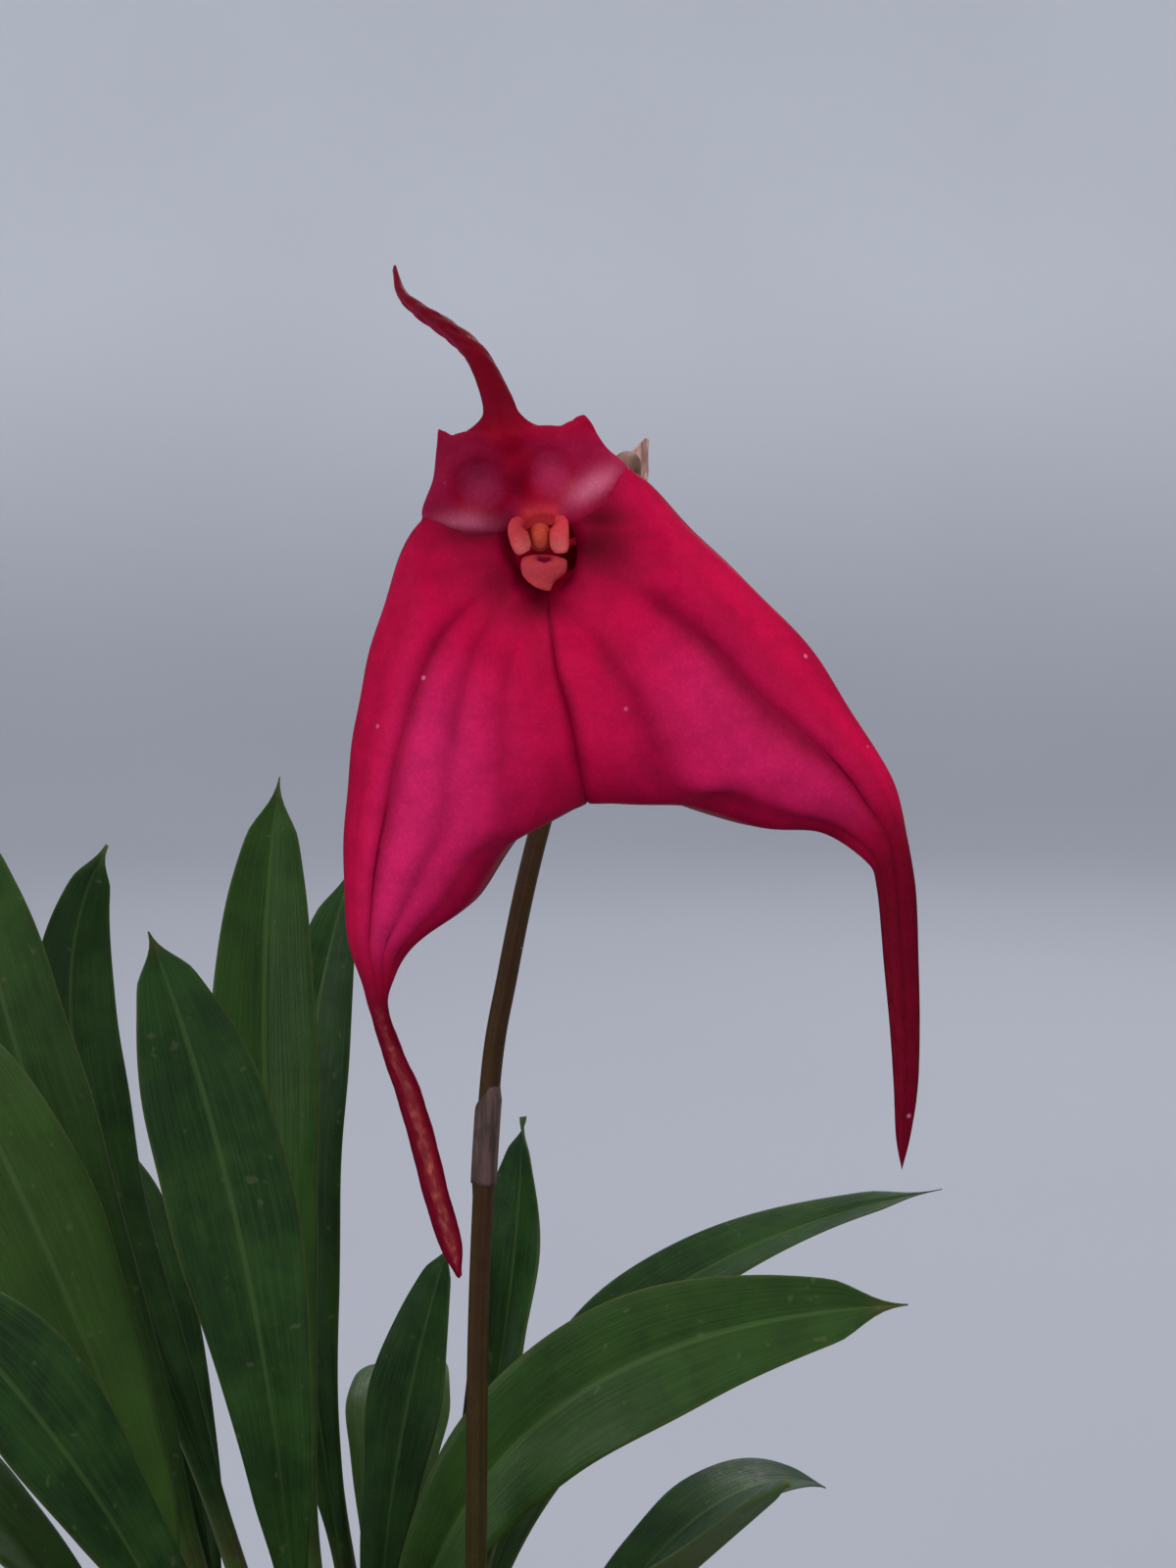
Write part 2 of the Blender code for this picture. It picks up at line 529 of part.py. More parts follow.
def floral_bract(finish):
    """The papery bract that wraps the foot of the pedicel and ends in a free tip."""
    path = np.array(((6.8, 32.0, 0.0), (7.1, 32.0, 2.0), (7.4, 32.0, 5.0), (7.8, 32.1, 7.5), (8.6, 32.6, 9.8),
                     (9.7, 33.2, 12.3))) + THROAT
    outer, sides = 2.1, 10
    rings_out, rings_in = [], []
    opens = (0.0, 0.05, 0.34, 0.5, 0.68, 0.9)
    for p, share, (_, side, normal) in zip(path, opens, frames_along(path, (0, 1, 0.1))):
        span = math.pi * 2 * (1 - share)
        squeeze = 1 - 0.75 * max(share - 0.35, 0)
        angles = [math.pi / 2 - span / 2 + span * k / sides for k in range(sides + 1)]
        rings_out.append([p + outer * squeeze * (math.cos(a) * side + math.sin(a) * normal) for a in angles])
        rings_in.append([p + (outer * squeeze - 0.45) * (math.cos(a) * side + math.sin(a) * normal) for a in angles])
    count = 2 * (sides + 1)
    rings = [out + back[::-1] for out, back in zip(rings_out, rings_in)]
    for ring in rings[:2]:
        for k in (0, count - 1):
            shift = (ring[1] - ring[0]) * 0.04 if k == 0 else (ring[-2] - ring[-1]) * 0.04
            ring[k] = ring[k] + shift
    loft("floral_bract", rings, finish)


def turned(name, profile, sides, finish):
    """A solid turned about Z from a closed outline of (radius, height) that starts and ends on the axis."""
    points, faces, rings = [], [], []
    for radius, height in profile:
        if radius == 0:
            rings.append([len(points)] * sides)
            points.append((0, 0, height))
            continue
        rings.append(list(range(len(points), len(points) + sides)))
        points += [(radius * math.cos(math.tau * k / sides), radius * math.sin(math.tau * k / sides), height)
                   for k in range(sides)]
    for low, high in zip(rings, rings[1:]):
        for k in range(sides):
            n = (k + 1) % sides
            face = []
            for v in (low[k], low[n], high[n], high[k]):
                if v not in face:
                    face.append(v)
            faces.append(face)
    return outward(mesh_object(name, points, faces, finish))


def inner_radius(height):
    """Radius of the pot's inner wall at a height."""
    share = height / (POT_HEIGHT - POT_RIM_HEIGHT)
    return POT_FOOT_RADIUS + (POT_BODY_RADIUS - POT_FOOT_RADIUS) * share - POT_WALL


def cutter(name, radius, low, high, place, sides):
    """A hidden upright cylinder that a Boolean cuts with."""
    made = turned(name, ((0, low), (radius, low), (radius, high), (0, high)), sides, None)
    made.location = (place[0] * MM, place[1] * MM, 0)
    made.hide_render = True
    made.display_type = "WIRE"
    return made


def boolean(obj, others, operation):
    """Applies one Boolean with a collection of objects, and removes them."""
    group = bpy.data.collections.new(obj.name + "_" + operation.lower())
    bpy.context.scene.collection.children.link(group)
    for other in others:
        for old in list(other.users_collection):
            old.objects.unlink(other)
        group.objects.link(other)
    modifier = obj.modifiers.new("boolean", "BOOLEAN")
    modifier.operation = operation
    modifier.operand_type = "COLLECTION"
    modifier.collection = group
    modifier.solver = "EXACT"
    bpy.context.view_layer.update()
    evaluated = obj.evaluated_get(bpy.context.evaluated_depsgraph_get())
    mesh = bpy.data.meshes.new_from_object(evaluated)
    obj.modifiers.remove(modifier)
    obj.data = mesh
    for other in list(group.objects):
        bpy.data.objects.remove(other)
    bpy.data.collections.remove(group)


def pot(finish):
    """A plain clay pot with a band for a rim, a flat foot and drain holes round its middle."""
    band = POT_HEIGHT - POT_RIM_HEIGHT
    rim_inner = POT_RIM_RADIUS - POT_WALL - 0.6
    profile = ((0, 0), (POT_FOOT_RADIUS - 1, 0), (POT_FOOT_RADIUS, 1), (POT_BODY_RADIUS, band),
               (POT_RIM_RADIUS - 1.2, band + 0.2), (POT_RIM_RADIUS - 0.4, band + 1.4),
               (POT_RIM_RADIUS, POT_HEIGHT - 1.5), (POT_RIM_RADIUS - 1.2, POT_HEIGHT),
               (rim_inner + 1.0, POT_HEIGHT), (rim_inner, POT_HEIGHT - 1.2),
               (inner_radius(band) + 0.8, band), (inner_radius(POT_FLOOR), POT_FLOOR), (0, POT_FLOOR))
    made = turned("pot", profile, POT_SIDES, finish)
    holes = []
    for k in range(DRAIN_COUNT):
        angle = math.tau * k / DRAIN_COUNT + math.pi / 2
        place = (DRAIN_CIRCLE * math.cos(angle), DRAIN_CIRCLE * math.sin(angle))
        holes.append(cutter(f"drain_{k}", DRAIN_RADIUS, -3, POT_FLOOR + 3, place, 16))
    boolean(made, holes, "DIFFERENCE")


def bark_chip(index, rng, place):
    """One flat piece of bark: a tapered block with its corners knocked about."""
    size = [s * rng.uniform(0.7, 1.15) for s in CHIP_SIZE]
    corners = []
    for z in (-1, 1):
        for x, y in ((-1, -1), (1, -1), (1, 1), (-1, 1)):
            taper = 0.85 if z > 0 else 1.0
            corners.append([0.5 * size[0] * x * taper * rng.uniform(0.75, 1.0),
                            0.5 * size[1] * y * taper * rng.uniform(0.75, 1.0), 0.5 * size[2] * z])
    turn, tilt, roll = rng.uniform(0, math.tau), rng.uniform(-0.35, 0.35), rng.uniform(-0.3, 0.3)
    made = []
    for x, y, z in corners:
        y, z = y * math.cos(roll) - z * math.sin(roll), y * math.sin(roll) + z * math.cos(roll)
        x, z = x * math.cos(tilt) + z * math.sin(tilt), -x * math.sin(tilt) + z * math.cos(tilt)
        x, y = x * math.cos(turn) - y * math.sin(turn), x * math.sin(turn) + y * math.cos(turn)
        made.append((x + place[0], y + place[1], z + place[2]))
    faces = ((3, 2, 1, 0), (4, 5, 6, 7), (0, 1, 5, 4), (1, 2, 6, 5), (2, 3, 7, 6), (3, 0, 4, 7))
    return outward(mesh_object(f"chip_{index}", made, faces, None, smooth=False))


def mix_height(radius):
    """The potting mix is a little higher in the middle than at the wall."""
    return MIX_LEVEL + 1.5 * (1 - (radius / 40.0) ** 2) - 1.5


def potting_mix(finish):
    """Bark mix that fills the pot, its top covered with chips, with a plain hole for each stem."""
    low = POT_FLOOR + GAP
    wall = [(inner_radius(h) - GAP, h) for h in (low, POT_HEIGHT - POT_RIM_HEIGHT)]
    top = [(r, mix_height(r)) for r in (40.0, 30.0, 20.0, 10.0)]
    profile = ((0, low), *wall, *top, (0, mix_height(0)))
    made = turned("potting_mix", profile, POT_SIDES, finish)
    rng = random.Random(11)
    stems = [foot for foot, *_ in LEAVES] + [SCAPE_PATH[1][:2]]
    chips, places, tries = [], [], 0
    while len(chips) < CHIP_COUNT and tries < 4000:
        tries += 1
        radius, angle = 33.0 * math.sqrt(rng.random()), rng.uniform(0, math.tau)
        x, y = radius * math.cos(angle), radius * math.sin(angle)
        if any(math.hypot(x - a, y - b) < 7.6 for a, b in places):
            continue
        if any(math.hypot(x - a, y - b) < 3.2 for a, b in stems):
            continue
        places.append((x, y))
        chips.append(bark_chip(len(chips), rng, (x, y, mix_height(radius) + rng.uniform(0.2, 1.4))))
    boolean(made, chips, "UNION")
    holes = []
    for k, foot in enumerate(stems):
        radius = (SCAPE_RADIUS if k == len(LEAVES) else RAMICAUL_RADIUS) + 0.85
        holes.append(cutter(f"hole_{k}", radius, MIX_LEVEL - STEM_DEPTH - GAP, MIX_LEVEL + 8, foot, HOLE_SIDES))
    boolean(made, holes, "DIFFERENCE")


def main():
    clear_scene()
    crimson = material("sepal", (0.42, 0.006, 0.075), 0.5)
    peach = material("petal", (0.62, 0.19, 0.15), 0.45)
    orange = material("column", (0.72, 0.25, 0.1), 0.45)
    rosy = material("lip", (0.55, 0.14, 0.16), 0.45)
    ovary_green = material("ovary", (0.24, 0.11, 0.07), 0.5)
    stem_brown = material("scape", (0.1, 0.055, 0.04), 0.5)
    papery = material("bract", (0.4, 0.24, 0.2), 0.7)
    green = material("leaf", (0.045, 0.11, 0.035), 0.42)
    clay = material("clay", (0.5, 0.21, 0.11), 0.85)
    bark = material("bark", (0.13, 0.07, 0.04), 0.9)
    pot(clay)
    potting_mix(bark)
    for k, (foot, elbow, tip, half_width, face) in enumerate(LEAVES):
        leaf(f"leaf_{k + 1:02d}", foot, elbow, tip, half_width, face, green)
    scape(stem_brown)
    floral_bract(papery)
    ovary_and_pedicel(ovary_green)
    perianth(crimson)
    petals(peach)
    column(orange)
    lip(rosy)


main()
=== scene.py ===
"""Looks of the masdevallia orchid in its clay pot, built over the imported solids.

Lengths are in millimetres and become metres when a mesh is made. The bloom has a
frame of its own with the throat as its origin: x right, y back, z up.
"""
import json
import math
import random

import bpy
import numpy as np
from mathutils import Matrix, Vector, noise

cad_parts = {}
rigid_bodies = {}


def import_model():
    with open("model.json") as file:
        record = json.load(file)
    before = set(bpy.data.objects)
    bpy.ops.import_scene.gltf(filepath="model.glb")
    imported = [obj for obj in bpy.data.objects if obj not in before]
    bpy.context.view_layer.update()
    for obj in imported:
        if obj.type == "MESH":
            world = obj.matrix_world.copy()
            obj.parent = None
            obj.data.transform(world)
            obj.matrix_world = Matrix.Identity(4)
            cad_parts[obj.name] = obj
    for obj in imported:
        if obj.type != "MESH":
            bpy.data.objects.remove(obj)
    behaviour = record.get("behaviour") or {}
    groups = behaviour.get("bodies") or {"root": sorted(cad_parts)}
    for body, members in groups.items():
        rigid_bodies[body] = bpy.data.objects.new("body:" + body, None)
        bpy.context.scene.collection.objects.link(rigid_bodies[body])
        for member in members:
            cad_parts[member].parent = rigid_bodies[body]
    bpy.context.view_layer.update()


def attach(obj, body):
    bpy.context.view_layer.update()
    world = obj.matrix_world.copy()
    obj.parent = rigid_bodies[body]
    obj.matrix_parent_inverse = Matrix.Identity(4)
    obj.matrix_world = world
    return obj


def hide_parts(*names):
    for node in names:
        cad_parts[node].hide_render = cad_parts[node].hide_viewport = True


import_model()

MM = 0.001

# Potting mix and pot, as in the solids
POT_HEIGHT = 86.0
POT_FOOT_RADIUS = 33.0
POT_BODY_RADIUS = 44.0
POT_RIM_RADIUS = 49.0
POT_RIM_HEIGHT = 17.0
POT_WALL = 4.0
POT_FLOOR = 6.0
DRAIN_RADIUS = 4.0
DRAIN_CIRCLE = 17.0
DRAIN_COUNT = 3
MIX_LEVEL = 76.0
STEM_DEPTH = 15.0
CHIP_SIZE = (11.5, 7.5, 4.0)
MIX_REACH = 40.0
MIX_SINK = 1.5                # how much lower the mix lies at that reach
MIX_SKIRT = 12.0              # how far the bed of bark goes down along the pot

# Bloom
THROAT = np.array((16.5, -45.0, 218.0))
TUBE_AXIS = np.array((0.274, 0.913, 0.301))
TUBE_LENGTH = 11.5
TISSUE = 0.36
TUBE_RINGS = ((11.5, 2.7), (9.4, 3.6), (7.2, 4.0), (4.9, 4.1))
SEAM_LEFT = ((-3.4, 2.5, 2.9), (-6.5, 1.0, 2.7), (-10.3, 1.0, 4.0))
SEAM_RIGHT = ((2.6, 2.4, 3.6), (5.3, 1.5, 5.5), (7.2, 1.2, 8.1))
SEAM_LOWER = ((0.4, 2.3, -3.0), (0.7, 0.2, -6.3), (1.2, -0.8, -9.3),
              (2.1, -1.2, -12.2), (2.9, -0.8, -16.0), (3.7, 1.6, -20.3))
DORSAL = {
    "first": SEAM_LEFT + ((-9.4, 0.6, 7.5), (-8.8, 0.2, 11.1), (-7.2, 0.2, 10.8), (-5.3, 0.4, 12.0)),
    "mid": ((-0.8, 2.7, 4.8), (-1.9, 1.6, 6.5), (-2.4, 0.6, 8.1), (-3.0, 0.0, 9.6),
            (-3.3, -0.6, 10.7), (-3.5, -0.4, 11.6), (-3.7, 0.0, 12.8)),
    "last": SEAM_RIGHT + ((5.2, 0.8, 10.2), (3.4, 0.4, 12.5), (0.4, 0.2, 11.4), (-1.8, 0.4, 12.3)),
    "tail": ((-4.1, 1.0, 14.5, 1.26), (-5.8, 3.5, 18.0, 1.06), (-8.4, 7.5, 20.5, 0.84),
             (-11.1, 12.0, 22.5, 0.8), (-13.1, 16.0, 24.4, 0.7), (-14.2, 20.0, 27.4, 0.0)),
    "tail_side": ((0.97, 0.1, 0.2), (0.6, -0.3, -0.74)),
    "tail_half_thick": 0.8,
    "horns": (((-8.8, 0.2, 11.1), (-0.25, -0.1, 1.0), 0.5, 0.4),
              ((-7.7, 0.2, 10.9), (0.0, 0.0, 1.0), -0.5, 0.7),
              ((3.4, 0.4, 12.5), (0.1, -0.2, 1.0), 0.35, 0.5),
              ((1.5, 0.3, 11.9), (0.0, 0.0, 1.0), -0.5, 1.0)),
}
RIGHT_SEPAL = {
    "first": SEAM_RIGHT + ((13.4, 2.0, 2.7), (18.9, 2.4, -2.1), (22.9, 2.6, -6.5), (26.5, 2.6, -11.9),
                           (28.8, 2.4, -15.7), (30.3, 2.0, -18.8), (31.1, 1.4, -22.6)),
    "mid": ((2.95, 2.0, -0.2), (7.6, -0.4, -1.9), (10.4, -1.6, -3.6), (13.8, -2.0, -6.1),
            (17.2, -2.0, -9.6), (20.4, -1.8, -12.7), (23.6, -1.4, -15.3), (26.0, -0.8, -17.7),
            (27.8, -0.2, -20.4), (29.5, 0.2, -23.3)),
    "last": SEAM_LOWER + ((9.7, 2.4, -20.8), (17.0, 2.0, -23.0), (23.5, 1.6, -23.3), (27.8, 1.0, -25.4)),
    "tail": ((30.4, 0.6, -27.6, 1.67), (30.9, 0.2, -34.4, 1.5), (31.2, -0.4, -39.9, 1.29),
             (31.3, -0.8, -45.0, 1.04), (31.1, -1.0, -49.3, 0.62), (31.0, -1.2, -52.2, 0.0)),
    "tail_side": ((-1.0, 0.1, -0.1), (-1.0, 0.1, 0.0)),
    "tail_half_thick": 0.75,
}
LEFT_SEPAL = {
    "first": SEAM_LOWER + ((-0.9, 2.2, -23.1), (-5.6, 1.8, -29.3), (-11.2, 1.2, -33.1),
                           (-13.3, 0.8, -35.8)),
    "mid": ((-2.8, 2.0, -0.9), (-6.2, -0.6, -3.4), (-8.7, -1.6, -5.9), (-10.5, -1.8, -9.6),
            (-12.2, -1.6, -14.7), (-13.5, -1.2, -20.3), (-14.4, -0.8, -24.9), (-15.0, -0.4, -28.7),
            (-15.1, 0.0, -32.7), (-14.5, 0.2, -36.0)),
    "last": SEAM_LEFT + ((-13.2, 1.8, -1.0), (-15.7, 2.4, -8.6), (-17.2, 2.6, -17.2), (-17.6, 2.4, -23.1),
                         (-17.6, 2.2, -27.9), (-17.0, 1.8, -32.5), (-15.7, 1.2, -36.2)),
    "tail": ((-14.3, 0.3, -38.8, 0.8), (-13.3, 0.0, -42.0, 0.85), (-11.9, -0.7, -45.4, 1.05),
             (-10.6, -1.4, -49.6, 1.1), (-9.4, -2.1, -54.2, 1.08), (-8.1, -2.6, -58.5, 0.95),
             (-7.4, -3.0, -61.3, 0.0)),
    "tail_side": ((-0.95, 0.1, -0.3), (-0.96, 0.05, -0.25)),
    "tail_half_thick": 0.62,
}
SEAM_END_UPPER = 6
SEAM_END_LOWER = 9
COLUMNS = {"dorsal": 52, "right": 68, "left": 68}
TUBE_STEPS, BLADE_STEPS, TAIL_STEPS = 5, 12, 11

# Scape and leaves, as in the solids
SCAPE_PATH = ((8.5, -10.5, MIX_LEVEL - STEM_DEPTH), (8.5, -10.8, MIX_LEVEL), (8.6, -11.2, 110.0),
              (9.0, -11.8, 140.0), (10.3, -12.4, 165.0), (12.2, -12.8, 177.0), (15.0, -13.0, 190.0),
              (19.6, -13.0, 206.0), (23.3, -13.0, 217.55))
SCAPE_RADIUS = 1.15
SCAPE_SHEATHS = (104.0, 156.0)
LEAVES = (
    ((-9, 6), (-20, 10, 150), (-14, 14, 194), 6.0, (0.1, -1.0, 0.2)),
    ((-5, 12), (-21, 18, 137), (-7, 26, 183), 5.6, (-0.3, -1.0, 0.2)),
    ((-10, -5), (-13, -10, 150), (-24, -12, 181), 6.6, (0.1, -1.0, 0.1)),
    ((-15, 12), (-54, 29, 155), (-37, 32, 184), 5.6, (0.6, -0.8, 0.2)),
    ((-19, 6), (-48, 14, 156), (-50, 20, 189), 6.4, (0.5, -0.9, 0.2)),
    ((-21, -2), (-37, 1, 144), (-52, 4, 172), 7.0, (0.3, -0.8, 0.5)),
    ((-17, -9), (-31, -18, 131), (-48, -23, 151), 7.2, (0.3, -0.5, 0.9)),
    ((5, 3), (13, 9, 130), (13, 12, 156), 5.6, (-0.8, -0.6, 0.2)),
    ((-1, -2), (-1, -4, 137), (54, -5, 140), 7.0, (0.0, -1.0, 0.4)),
    ((6, 10), (4, 22, 133), (62, 25, 144), 5.6, (-0.3, -0.4, 1.0)),
    ((8, -3), (30, -24, 119), (39, -35, 133), 6.4, (-0.3, 0.2, 1.0)),
    ((-3, 4), (-3, 6, 117), (5, 8, 143), 4.6, (-0.5, -0.8, 0.1)),
    ((-13, 18), (-18, 30, 146), (-24, 52, 150), 6.6, (0.0, -0.8, 0.6)),
    ((-21, 13), (-33, 32, 136), (-46, 46, 147), 6.4, (0.4, -0.6, 0.7)),
    ((-27, 2), (-49, 9, 124), (-74, 14, 122), 6.6, (0.3, -0.2, 1.0)),
    ((-4, 20), (-4, 44, 119), (-4, 60, 109), 6.6, (0.0, -0.4, 1.0)),
    ((4, 16), (17, 38, 124), (30, 52, 113), 6.4, (-0.2, -0.3, 1.0)),
    ((13, 9), (32, 26, 114), (50, 38, 102), 6.2, (-0.3, -0.2, 1.0)),
    ((-9, -14), (-15, -37, 121), (-24, -55, 117), 6.6, (0.1, 0.4, 1.0)),
    ((1, -12), (4, -37, 121), (9, -57, 113), 6.4, (0.0, 0.4, 1.0)),
    ((15, 1), (33, -4, 113), (58, -14, 109), 6.2, (-0.3, 0.1, 1.0)),
    ((-26, -8), (-45, -22, 122), (-68, -32, 115), 6.6, (0.3, 0.2, 1.0)),
    ((-17, -17), (-30, -36, 123), (-46, -51, 119), 6.8, (0.2, 0.4, 1.0)),
)
RAMICAUL_RADIUS = 1.25
LEAF_OUTLINE = ((0.24, 0.2), (0.33, 0.32), (0.45, 0.53), (0.60, 0.84), (0.74, 1.0),
                (0.84, 0.9), (0.92, 0.62), (0.97, 0.33), (1.0, 0.05))
LEAF_HALF_THICK = 0.7
LEAF_ROWS = 84
LEAF_SIDES = 36

# Camera: a long portrait lens, level with the bloom and tipped a little down
CAMERA_PLACE = (20.25, -245.84, 220.51)
CAMERA_TIP = 6.0
CAMERA_LENS = 54.0
SENSOR = 36.0


def rgb(red, green, blue):
    """A colour as a screen shows it, 0 to 255, as linear light."""
    made = []
    for value in (red, green, blue):
        v = value / 255
        made.append(v / 12.92 if v <= 0.04045 else ((v + 0.055) / 1.055) ** 2.4)
    return tuple(made)


def unit(v):
    v = np.asarray(v, float)
    return v / np.linalg.norm(v)


def smoothstep(x, low, high):
    t = np.clip((np.asarray(x, float) - low) / (high - low), 0.0, 1.0)
    return t * t * (3 - 2 * t)


def window(x, low, full, last, gone):
    """Rises from low to full, stays, and falls from last to gone."""
    return smoothstep(x, low, full) * (1 - smoothstep(x, last, gone))


def bell(x, centre, width):
    return np.exp(-((np.asarray(x, float) - centre) / width) ** 2)


def fade(a, b, share):
    """Colours a and b mixed, row by row, by a share from 0 to 1."""
    share = np.clip(np.asarray(share, float), 0, 1)[..., None]
    return np.asarray(a, float) * (1 - share) + np.asarray(b, float) * share


# Meshes

def piece(name, points_mm, faces, finish, node=None, attributes=None):
    """A smooth-shaded mesh that rides on the part and takes a slot of its finish."""
    mesh = bpy.data.meshes.new(name)
    mesh.from_pydata([tuple(p) for p in np.asarray(points_mm, float) * MM], [], [tuple(f) for f in faces])
    for key, values in (attributes or {}).items():
        values = np.asarray(values, float)
        if values.ndim == 2:
            layer = mesh.attributes.new(key, "FLOAT_COLOR", "POINT")
            full = np.ones((len(values), 4))
            full[:, :3] = values
            layer.data.foreach_set("color", full.ravel())
        else:
            layer = mesh.attributes.new(key, "FLOAT", "POINT")
            layer.data.foreach_set("value", values)
    mesh.shade_smooth()
    mesh.materials.append(finish)
    made = bpy.data.objects.new(name, mesh)
    bpy.context.scene.collection.objects.link(made)
    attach(made, "root")
    if node:
        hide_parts(*([node] if isinstance(node, str) else node))
    return made


def spline_point(keys, place):
    """The point at `place`, counted in keys, on a Catmull-Rom curve through the keys."""
    keys = np.asarray(keys, float)
    i = min(int(place), len(keys) - 2)
    t = place - i
    before = keys[i - 1] if i > 0 else 2 * keys[0] - keys[1]
    after = keys[i + 2] if i + 2 < len(keys) else 2 * keys[-1] - keys[-2]
    a, b = keys[i], keys[i + 1]
    return 0.5 * (2 * a + (b - before) * t + (2 * before - 5 * a + 4 * b - after) * t ** 2
                  + (3 * a - before - 3 * b + after) * t ** 3)


def spline(keys, steps):
    count = (len(keys) - 1) * steps
    return np.array([spline_point(keys, k / steps) for k in range(count + 1)])


def smooth_interp(x, table):
    """A smooth curve through (place, value) pairs, read at x; flat outside them."""
    places = [p for p, _ in table]
    values = [v for _, v in table]
    if x <= places[0]:
        return values[0]
    if x >= places[-1]:
        return values[-1]
    slopes = np.gradient(values, places)
    i = int(np.searchsorted(places, x)) - 1
    h = places[i + 1] - places[i]
    t = (x - places[i]) / h
    return ((1 + 2 * t) * (1 - t) ** 2 * values[i] + t * (1 - t) ** 2 * h * slopes[i]
            + t * t * (3 - 2 * t) * values[i + 1] + t * t * (t - 1) * h * slopes[i + 1])


def frames_along(path, hint):
    """Tangent, side and normal at each point of a path; the normal leans towards the hint."""
    made = []
    for tangent in np.gradient(np.asarray(path, float), axis=0):
        tangent = unit(tangent)
        side = unit(np.cross(tangent, hint))
        made.append((tangent, side, np.cross(side, tangent)))
    return made


def ring_faces(rings, count, closed=True):
    """Quads between rings of `count` points, with fans over both ends when closed."""
    faces = []
    for i in range(rings - 1):
        for k in range(count):
            a, b = i * count + k, i * count + (k + 1) % count
            faces.append((a, b, b + count, a + count))
    if closed:
        faces.append(tuple(range(count))[::-1])
        faces.append(tuple(range((rings - 1) * count, rings * count)))
    return faces


def speckle(p, scale, seed=0.0):
    """Smooth noise from -1 to 1 at a point in millimetres."""
    return noise.noise(Vector((p[0] / scale + seed, p[1] / scale - seed, p[2] / scale + 2 * seed)))


# Materials

LIGHT_THROUGH_TUBE = 0.4      # glow of the tube's inside, for the light that its thin wall lets in


class Shader:
    """A Principled material and short calls for the nodes that feed it."""

    def __init__(self, name, roughness=0.5):
        self.material = bpy.data.materials.new(name)
        self.material.use_nodes = True
        self.tree = self.material.node_tree
        self.surface = self.tree.nodes["Principled BSDF"]
        self.surface.inputs["Roughness"].default_value = roughness
        self.place = self.tree.nodes.new("ShaderNodeTexCoord").outputs["Object"]

    def put(self, socket, value):
        if isinstance(value, bpy.types.NodeSocket):
            self.tree.links.new(value, socket)
        elif isinstance(value, tuple) and len(value) == 3 and socket.type == "RGBA":
            socket.default_value = (*value, 1.0)
        else:
            socket.default_value = value

    def set(self, name, value):
        self.put(self.surface.inputs[name], value)

    def node(self, kind, inputs=None, **settings):
        made = self.tree.nodes.new("ShaderNode" + kind)
        for key, value in settings.items():
            setattr(made, key, value)
        for key, value in (inputs or {}).items():
            self.put(made.inputs[key], value)
        return made

    def value(self, name):
        return self.node("Attribute", attribute_name=name).outputs["Fac"]

    def colour(self, name):
        return self.node("Attribute", attribute_name=name).outputs["Color"]

    def stretch(self, scale):
        return self.node("Mapping", {"Vector": self.place, "Scale": scale}).outputs["Vector"]

    def noise(self, scale, detail=3.0, rough=0.55, vector=None):
        """Noise from 0 to 1 whose features are about 1 / scale metres wide."""
        made = self.node("TexNoise", {"Vector": vector or self.place, "Scale": scale,
                                      "Detail": detail, "Roughness": rough})
        return made.outputs["Fac"]

    def cells(self, scale):
        """Distance to the middle of the nearest cell, for cells about 1 / scale metres wide."""
        return self.node("TexVoronoi", {"Vector": self.place, "Scale": scale}).outputs["Distance"]

    def sum(self, operation, *values):
        made = self.node("Math", operation=operation)
        for socket, value in zip(made.inputs, values):
            self.put(socket, value)
        return made.outputs[0]

    def steps(self, value, low, high, to_low=0.0, to_high=1.0):
        """`value` from low to high becomes to_low to to_high, smoothly, and no further."""
        made = self.node("MapRange", {"Value": value, "From Min": low, "From Max": high,
                                      "To Min": to_low, "To Max": to_high}, interpolation_type="SMOOTHSTEP")
        return made.outputs["Result"]

    def mix(self, share, a, b, blend="MIX"):
        made = self.node("Mix", data_type="RGBA", blend_type=blend)
        self.put(made.inputs[0], share)
        self.put(made.inputs[6], a)
        self.put(made.inputs[7], b)
        return made.outputs[2]

    def bump(self, height, depth_mm, strength=1.0, below=None):
        inputs = {"Height": height, "Distance": depth_mm * MM, "Strength": strength}
        if below is not None:
            inputs["Normal"] = below
        return self.node("Bump", inputs).outputs["Normal"]


